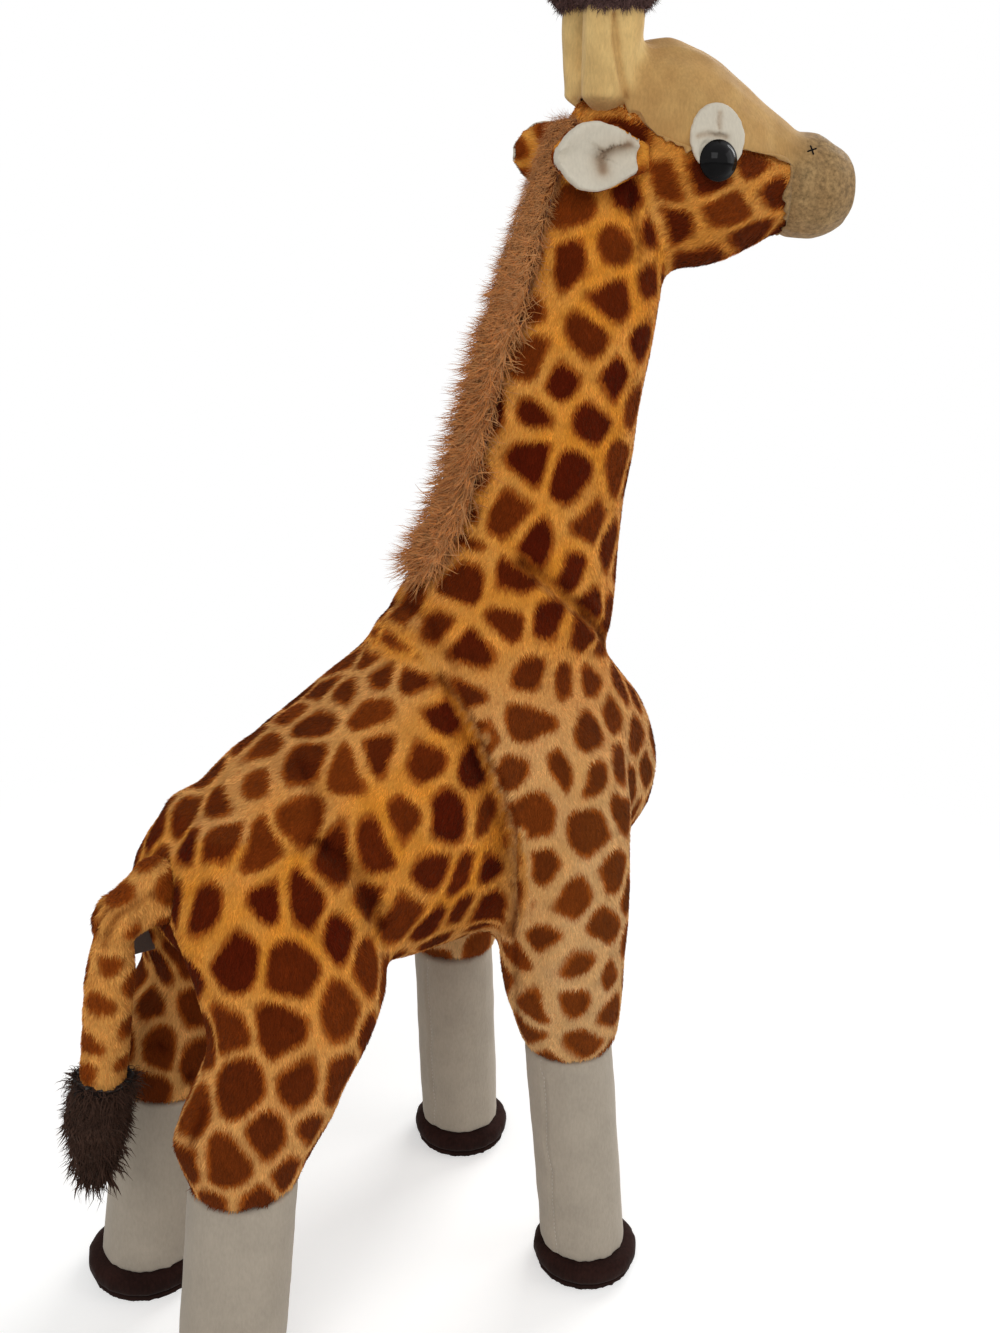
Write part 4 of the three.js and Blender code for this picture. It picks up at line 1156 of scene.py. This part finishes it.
def make_fur_tree():
    """Strands on the surface that comes in; the surface itself doesn't come out."""
    tree, make, given = node_group("grow_fur", "GeometryNodeTree", FUR_INPUTS, "Geometry")

    def calc(kind, *values):
        return maths(make, kind, *values)

    def vectors(kind, *values, out=0):
        return make("ShaderNodeVectorMath", dict(enumerate(values)), out, operation=kind)

    def scaled(vector, factor):
        return make("ShaderNodeVectorMath", {0: vector, "Scale": factor}, operation="SCALE")

    def stored_as(name, value, geometry):
        return make("GeometryNodeStoreNamedAttribute", {"Geometry": geometry, "Name": name, "Value": value},
                    data_type="FLOAT", domain="POINT")

    def chance(low, high, shift):
        return make("FunctionNodeRandomValue", {2: low, 3: high, "Seed": calc("ADD", given["Seed"], shift)}, 1,
                    data_type="FLOAT")

    blade = make("GeometryNodeMeshGrid", {"Size X": given["Width"], "Size Y": 1.0, "Vertices X": 2,
                                          "Vertices Y": calc("ADD", given["Steps"], 1.0)})
    spot = make("ShaderNodeSeparateXYZ", {0: make("GeometryNodeInputPosition")}, None)
    share = calc("ADD", spot["Y"], 0.5)
    square = calc("MULTIPLY", share, share)
    ripple = calc("MULTIPLY", calc("SINE", calc("MULTIPLY", share, 7.5)), given["Wave"])
    bend = calc("MULTIPLY", calc("ADD", calc("MULTIPLY", square, given["Curl"]), ripple), given["Length"])
    place = make("ShaderNodeCombineXYZ", {0: bend, 1: calc("MULTIPLY", spot["X"], calc("SUBTRACT", 1.0, square)),
                                          2: calc("MULTIPLY", share, given["Length"])})
    shaped = make("GeometryNodeSetPosition", {"Geometry": blade, "Position": place})
    pointed = make("GeometryNodeMergeByDistance",
                   {"Geometry": stored_as("along", share, shaped), "Distance": 0.002 * MM})

    roots = make("GeometryNodeDistributePointsOnFaces",
                 {"Mesh": given["Geometry"], "Density": given["Density"], "Seed": given["Seed"]}, None)
    normal = roots["Normal"]
    stray = make("FunctionNodeRandomValue", {"Min": (-1, -1, -1), "Max": (1, 1, 1), "Seed": given["Seed"]},
                 data_type="FLOAT_VECTOR")
    wanted = vectors("ADD", given["Nap"], scaled(stray, given["Messy"]))
    rise = vectors("DOT_PRODUCT", wanted, normal, out="Value")
    lying = vectors("NORMALIZE", vectors("SUBTRACT", wanted, scaled(normal, rise)))
    toward = vectors("ADD", scaled(lying, calc("COSINE", given["Lean"])), scaled(normal, calc("SINE", given["Lean"])))
    facing = make("FunctionNodeAlignRotationToVector", {"Vector": toward}, axis="Z")
    facing = make("FunctionNodeAlignRotationToVector", {"Rotation": facing, "Vector": normal}, axis="X",
                  pivot_axis="Z")
    roll = make("FunctionNodeAxisAngleToRotation", {"Axis": (0, 0, 1), "Angle": chance(-0.8, 0.8, 7.0)})
    facing = make("FunctionNodeRotateRotation", {0: facing, 1: roll}, rotation_space="LOCAL")
    reach = make("GeometryNodeInputNamedAttribute", {"Name": "reach"}, None, data_type="FLOAT")
    reach = make("GeometryNodeSwitch", {"Switch": reach["Exists"], "False": 1.0, "True": reach["Attribute"]},
                 input_type="FLOAT")
    grown = make("GeometryNodeInstanceOnPoints",
                 {"Points": stored_as("tone", chance(0.0, 1.0, 5.0), roots["Points"]), "Instance": pointed,
                  "Rotation": facing, "Scale": calc("MULTIPLY", chance(0.6, 1.15, 3.0), reach)})
    made_real(make, grown, given["Material"])
    return tree


FUR_TREE = make_fur_tree()


def run_tree(obj, tree, body, slot, **values):
    """Runs a tree on a piece, with its inputs given by name, and keeps the result as plain mesh."""
    modifier = put(obj.modifiers.new("tree", "NODES"), node_group=tree)
    for socket in tree.interface.items_tree:
        if socket.in_out == "INPUT" and socket.name.lower() in values:
            modifier[socket.identifier] = values[socket.name.lower()]
    applied(obj)
    if body:
        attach(obj, body)
    return obj


def grown_on(source, name, body, slot, material, keep=None, **inputs):
    """Fur on the faces of a source piece whose first point keep(index) picks."""
    shape = bmesh.new()
    shape.from_mesh(source.data)
    if keep is not None:
        outside = [face for face in shape.faces if not keep(face.verts[0].index)]
        bmesh.ops.delete(shape, geom=outside, context="FACES")
    bed = run_tree(from_shape(name, shape), FUR_TREE, body, slot, material=material, **inputs)
    print(name, "has", len(bed.data.polygons), "faces")
    return bed


print("fur inputs:", ", ".join(name for name, _, _ in FUR_INPUTS))

# %% [markdown]
# ## Short pile on the coat
#
# The pile of the coat is about three millimetres long and lies down and back. It is grown panel by
# panel, so that no piece has too many faces. The strands carry the print of the cloth below them.
# Along the edge of the plain face cloth a narrow strip of pile stands up and laps over the seam.

# %% Pile of the coat
PILE = {"length": 3.0 * MM, "width": 0.62 * MM, "steps": 1, "lean": 0.42, "messy": 0.45, "density": 1.45e6}
PILE_PANELS = {
    "body_pile": (("torso",), (-0.5, 0.0, -0.8), 3),
    "neck_pile": (("neck",), (-0.1, 0.0, -1.0), 4),
    "face_pile": (("cheeks",), (-0.8, 0.1, -0.5), 5),
    "fore_pile": (("front_left_upper_leg", "front_right_upper_leg"), (0.0, 0.0, -1.0), 6),
    "thigh_left_pile": (("rear_left_upper_leg",), (-0.1, 0.0, -1.0), 7),
    "thigh_right_pile": (("rear_right_upper_leg",), (-0.1, 0.0, -1.0), 8),
}


def pile_on(source, name, body, nap, seed, keep=None, **changes):
    """Printed pile: it lies along the nap, and the changes are what it has that other pile hasn't."""
    return grown_on(source, name, body, "spotted_pile", coat_pile, keep, nap=nap, seed=seed, **{**PILE, **changes})


for name, (owners, nap, seed) in PILE_PANELS.items():
    pile_on(coat, name, "giraffe", nap, seed, lambda index, owners=owners: coat_owner[index] in owners)
pile_on(coat, "face_edge_pile", "giraffe", (0.3, 0.0, 1.0), 9,
        lambda index: -3.0 * MM < coat_under[index] < PILE_LAP, length=2.6 * MM, lean=0.3, density=2.4e6)
for side in EAR_PLACES:
    pile_on(bpy.data.objects[f"{side}_ear_cloth"], f"{side}_ear_pile", f"{side}_ear", (-1.0, 0.0, 0.0), 12,
            length=1.8 * MM, lean=0.25)
tail_pile = pile_on(tail, "tail_pile", None, (0.0, 0.0, -1.0), 13)
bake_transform(tail_pile)

# %% [markdown]
# ## Mane, horn tufts and tail tuft
#
# These are long-haired fur fabric. Each has a solid core, so that no gap shows between the strands,
# and strands that are long, waved and messy. A value named "reach" lengthens or shortens them.

# %% Long fur
def core(name, node, body, material, thinner=0.0):
    """The solid middle of a furry piece, made thinner than the measured one by a given amount."""
    piece = skin(name, [node], 2.0 * MM, 2, 0.0)
    moved(piece, lambda co, normal: normal * -thinner)
    lumps(piece, 1.2 * MM, 7 * MM, 3.0)
    return finished(piece, body, material, [node])


def heights(obj, node):
    """How high each point of a piece is within a measured piece, from 0 to 1."""
    low, high = (corner[2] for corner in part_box(node))
    return [(vert.co.z - low) / (high - low) for vert in obj.data.vertices]


TUFT_SHORTER = 0.26
mane_core = core("mane_backing", "mane", "giraffe", mane_under, 2.0 * MM)
mark(mane_core, "reach", [1.2 - 0.75 * smoothstep(0.4, 0.9, height) for height in heights(mane_core, "mane")])
coat_skin = surface(coat)
# Painted shade on the mane's core where it meets the neck.
mark(mane_core, "fold", [0.6 * smoothstep(4 * MM, 0.5 * MM, coat_skin.find_nearest(vert.co)[3])
                         for vert in mane_core.data.vertices])
grown_on(mane_core, "mane_strands", "giraffe", "mane_fur", mane_fur, density=2.3e6, length=15 * MM,
         width=0.42 * MM, steps=4, lean=0.9, curl=-0.4, wave=0.14, messy=0.9, nap=(-0.8, 0.0, -0.6), seed=21)
for side in ("left", "right"):
    cap = core(f"{side}_horn_cap", f"{side}_horn_tuft", "giraffe", cap_under)
    grown_on(cap, f"{side}_horn_strands", "giraffe", "horn_fur", cap_fur, density=3.0e6, length=7 * MM,
             width=0.6 * MM, steps=3, lean=0.6, curl=-0.3, wave=0.08, messy=1.0, nap=(0.0, 0.0, -0.6), seed=22)
tuft = core("tail_tuft_backing", "tail_tuft", "tail_length", tuft_under, 4.2 * MM)
tuft_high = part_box("tail_tuft")[1][2]
moved(tuft, lambda co, normal: Vector((0, 0, TUFT_SHORTER * (tuft_high - co.z))))
mark(tuft, "reach", [0.7 + 0.85 * smoothstep(0.85, 0.35, height) for height in heights(tuft, "tail_tuft")])
grown_on(tuft, "tail_tuft_strands", "tail_length", "tail_fur", tuft_fur, density=1.9e6, length=15 * MM,
         width=1.0 * MM, steps=4, lean=0.32, curl=-0.1, wave=0.12, messy=0.5, nap=(0.0, 0.0, -1.0), seed=23)

# %% [markdown]
# ## Seams and thread
#
# A seam is a shallow groove with small stitches in it. Stitches are one bead repeated along a path,
# so Geometry Nodes set them: the path becomes a curve, it is resampled by the stitch's pitch, and a
# bead that is stretched along the path lies on each point. The nostril is only two crossed stitches
# of black thread, and the eye patch has a tee pulled into it.

# %% The stitch tree
STITCH_INPUTS = (("Geometry", "Geometry", None), ("Pitch", "Float", 2.4 * MM), ("Length", "Float", 1.7 * MM),
                 ("Radius", "Float", 0.22 * MM), ("Material", "Material", None))


def make_stitch_tree():
    """Stitches along the line that comes in."""
    tree, make, given = node_group("sew", "GeometryNodeTree", STITCH_INPUTS, "Geometry")
    line = make("GeometryNodeMeshToCurve", {"Mesh": given["Geometry"]})
    points = make("GeometryNodeResampleCurve", {"Curve": line, "Length": given["Pitch"]}, mode="LENGTH")
    facing = make("FunctionNodeAlignRotationToVector", {"Vector": make("GeometryNodeInputTangent")}, axis="Z")
    bead = make("GeometryNodeMeshUVSphere", {"Segments": 6, "Rings": 4, "Radius": 1.0})
    size = make("ShaderNodeCombineXYZ", {0: given["Radius"], 1: given["Radius"],
                                         2: maths(make, "MULTIPLY", given["Length"], 0.5)})
    laid = make("GeometryNodeInstanceOnPoints",
                {"Points": points, "Instance": bead, "Rotation": facing, "Scale": size})
    made_real(make, laid, given["Material"])
    return tree


STITCH_TREE = make_stitch_tree()


def sewn(name, paths, slot, material, pitch, length=1.7 * MM, radius=0.22 * MM):
    """One piece of stitches along one or more paths."""
    shape = bmesh.new()
    for path in paths:
        verts = [shape.verts.new(point) for point in path]
        for start, end in zip(verts, verts[1:]):
            shape.edges.new((start, end))
    rounded(run_tree(from_shape(name, shape), STITCH_TREE, "giraffe", slot, pitch=pitch, length=length,
                     radius=radius, material=material))


print("stitch inputs:", ", ".join(name for name, _, _ in STITCH_INPUTS))

# %% Seams of the face
HORN_SEAM = ((614, 14), (615, 34), (617, 54), (621, 76), (626, 96))
NOSTRIL = ((809, 151), (815, 149)), ((811, 147), (813, 153))
HEAD_ACROSS = Vector((0.309, 0.951, 0))


def middle_of(*names):
    """The middle of the box round some measured pieces."""
    corners = [Vector(corner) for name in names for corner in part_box(name)]
    return sum(corners, Vector()) / len(corners)


def across_head(tree, path, middle):
    """A path on the head's near side carried to its far side. The head is turned, so this isn't y = -y."""
    return [tree.find_nearest(point - 2 * (point - middle).dot(HEAD_ACROSS) * HEAD_ACROSS)[0] for point in path]


def face_painted_light_and_shade(vert):
    """Painted light and shade: the brow and the muzzle are painted a little darker, unevenly, and the horns are
    painted lighter, as the light falls on them.
    """
    first, second, lead = face_shares[vert.index]
    ahead = lead if "horn" in first else -lead if "horn" in second else -1.0
    return 0.2 + 0.14 * noise.noise(vert.co / (9 * MM)) - 0.42 * smoothstep(-5 * MM, 7 * MM, ahead)


horn_line = traced(surface(face), HORN_SEAM)
horn_lines = [horn_line, across_head(surface(face), horn_line, middle_of("left_horn", "right_horn"))]
for path in horn_lines:
    drawn_in(face, path, 1.5 * MM, 1.5 * MM, lip=0.5)
# Painted shade in the horn seams, with the face's painted light and shade as the ground.
paint_shade_in_folds(face, [(path, 0.9 * MM, 0.9) for path in horn_lines], face_painted_light_and_shade)
face_tree = surface(face)
nostrils = [traced(face_tree, ends) for ends in NOSTRIL]
nostrils += [across_head(face_tree, path, middle_of("muzzle")) for path in nostrils]
sewn("nostril_stitches", nostrils, "tan_pile", thread_black, pitch=1.1 * MM, length=2.4 * MM, radius=0.5 * MM)
print("horn seam points:", len(horn_line), "nostril stitches:", len(nostrils))

# %% Tee stitched into each eye patch
TEE = (((698, 136), (708, 134), (718, 135), (726, 137)), ((720, 113), (719, 122), (719, 134)))
eye_middle = (EYE_PLACES["left"][0] + EYE_PLACES["right"][0]) / 2
near_patch = bpy.data.objects["right_eye_patch_cloth"]
far_patch = bpy.data.objects["left_eye_patch_cloth"]
near_lines = [traced(surface(near_patch), line) for line in TEE]
far_lines = [across_head(surface(far_patch), line, eye_middle) for line in near_lines]
for patch, paths in ((near_patch, near_lines), (far_patch, far_lines)):
    for path in paths:
        drawn_in(patch, path, 0.9 * MM, 1.0 * MM, lip=0.6)
    # Painted shade in the lines of the tee.
    paint_shade_in_folds(patch, [(path, 0.9 * MM, 0.5) for path in paths])
print("lines of the tee:", len(TEE))

# %% [markdown]
# The sock of each lower leg is a tube closed by one seam down its back, which keeps fine white
# stitches in a groove.

# %% Leg seams
SEAM_STEPS = 24
SEAM_FROM, SEAM_SHARE = 0.02, 0.96
SEAM_WAY = (-0.96, -0.28)
RING_HALF = 2 * MM
for leg in LEGS:
    sock = bpy.data.objects[f"{leg}_sock"]
    sock_tree = surface(sock)
    low, high = (corner[2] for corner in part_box(f"{leg}_lower_leg"))
    side = -1.0 if leg.startswith("rear") else 1.0
    path = []
    for index in range(SEAM_STEPS):
        height = low + (high - low) * (SEAM_FROM + SEAM_SHARE * index / (SEAM_STEPS - 1))
        ring = [v.co for v in sock.data.vertices if abs(v.co.z - height) < RING_HALF]
        centre = sum(ring, Vector()) / max(1, len(ring))
        hit = sock_tree.ray_cast(centre, Vector((side * SEAM_WAY[0], SEAM_WAY[1], 0)).normalized())[0]
        if hit is not None:
            path.append(hit)
    drawn_in(sock, path, 0.9 * MM, 1.3 * MM)
    floor_of_seam = surface(sock)
    sewn(f"{leg}_sock_stitches", [[floor_of_seam.find_nearest(point)[0] for point in path]], "white_pile",
         thread_white, pitch=2.6 * MM)
print("each sock seam has", SEAM_STEPS, "points")

# %% [markdown]
# ## Ribbon
#
# A short woven ribbon is folded double and caught in the seam of one hind leg, and nothing is printed
# on it. It is a sheet: a strip bent round its fold, with a little sag, then given its thickness.

# %% Ribbon loop
RIBBON_WIDTH = 18 * MM
RIBBON_RUN = 13 * MM
RIBBON_GAP = 1.1 * MM
RIBBON_THICK = 0.5 * MM
RIBBON_ROOT = -0.35
RIBBON_ROWS = 9


def ribbon_loop(name, low, high):
    """A strip folded round an upright line, from its box's lowest and highest corners."""
    middle_y, base_z = (low.y + high.y) / 2, (low.z + high.z - RIBBON_WIDTH) / 2
    shares_out = (RIBBON_ROOT, 0, 0.25, 0.5, 0.75, 1.0)
    steps = [(-share * RIBBON_RUN, RIBBON_GAP) for share in shares_out]
    steps += [(-RIBBON_RUN - RIBBON_GAP * math.sin(math.radians(a)), RIBBON_GAP * math.cos(math.radians(a)))
              for a in (30, 60, 90, 120, 150)]
    steps += [(-share * RIBBON_RUN, -RIBBON_GAP) for share in reversed(shares_out)]
    shape = bmesh.new()
    grid = []
    for index, (along, across) in enumerate(steps):
        line = []
        for row in range(RIBBON_ROWS):
            rise = row / (RIBBON_ROWS - 1)
            sag = 0.5 * MM * math.sin(3.0 * rise + index * 0.3) * (-along / RIBBON_RUN)
            line.append(shape.verts.new((high.x + along, middle_y + across + sag, base_z + rise * RIBBON_WIDTH)))
        grid.append(line)
    for left, right in zip(grid, grid[1:]):
        for row in range(RIBBON_ROWS - 1):
            shape.faces.new((left[row], right[row], right[row + 1], left[row + 1]))
    bmesh.ops.recalc_face_normals(shape, faces=shape.faces)
    strip = from_shape(name, shape)
    put(strip.modifiers.new("thickness", "SOLIDIFY"), thickness=RIBBON_THICK, offset=0.0)
    return subdivided(applied(strip))


ribbon = ribbon_loop("ribbon_strip", *(Vector(c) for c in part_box("ribbon_loop")))
finished(ribbon, "giraffe", ribbon_cloth, ["ribbon_loop"])
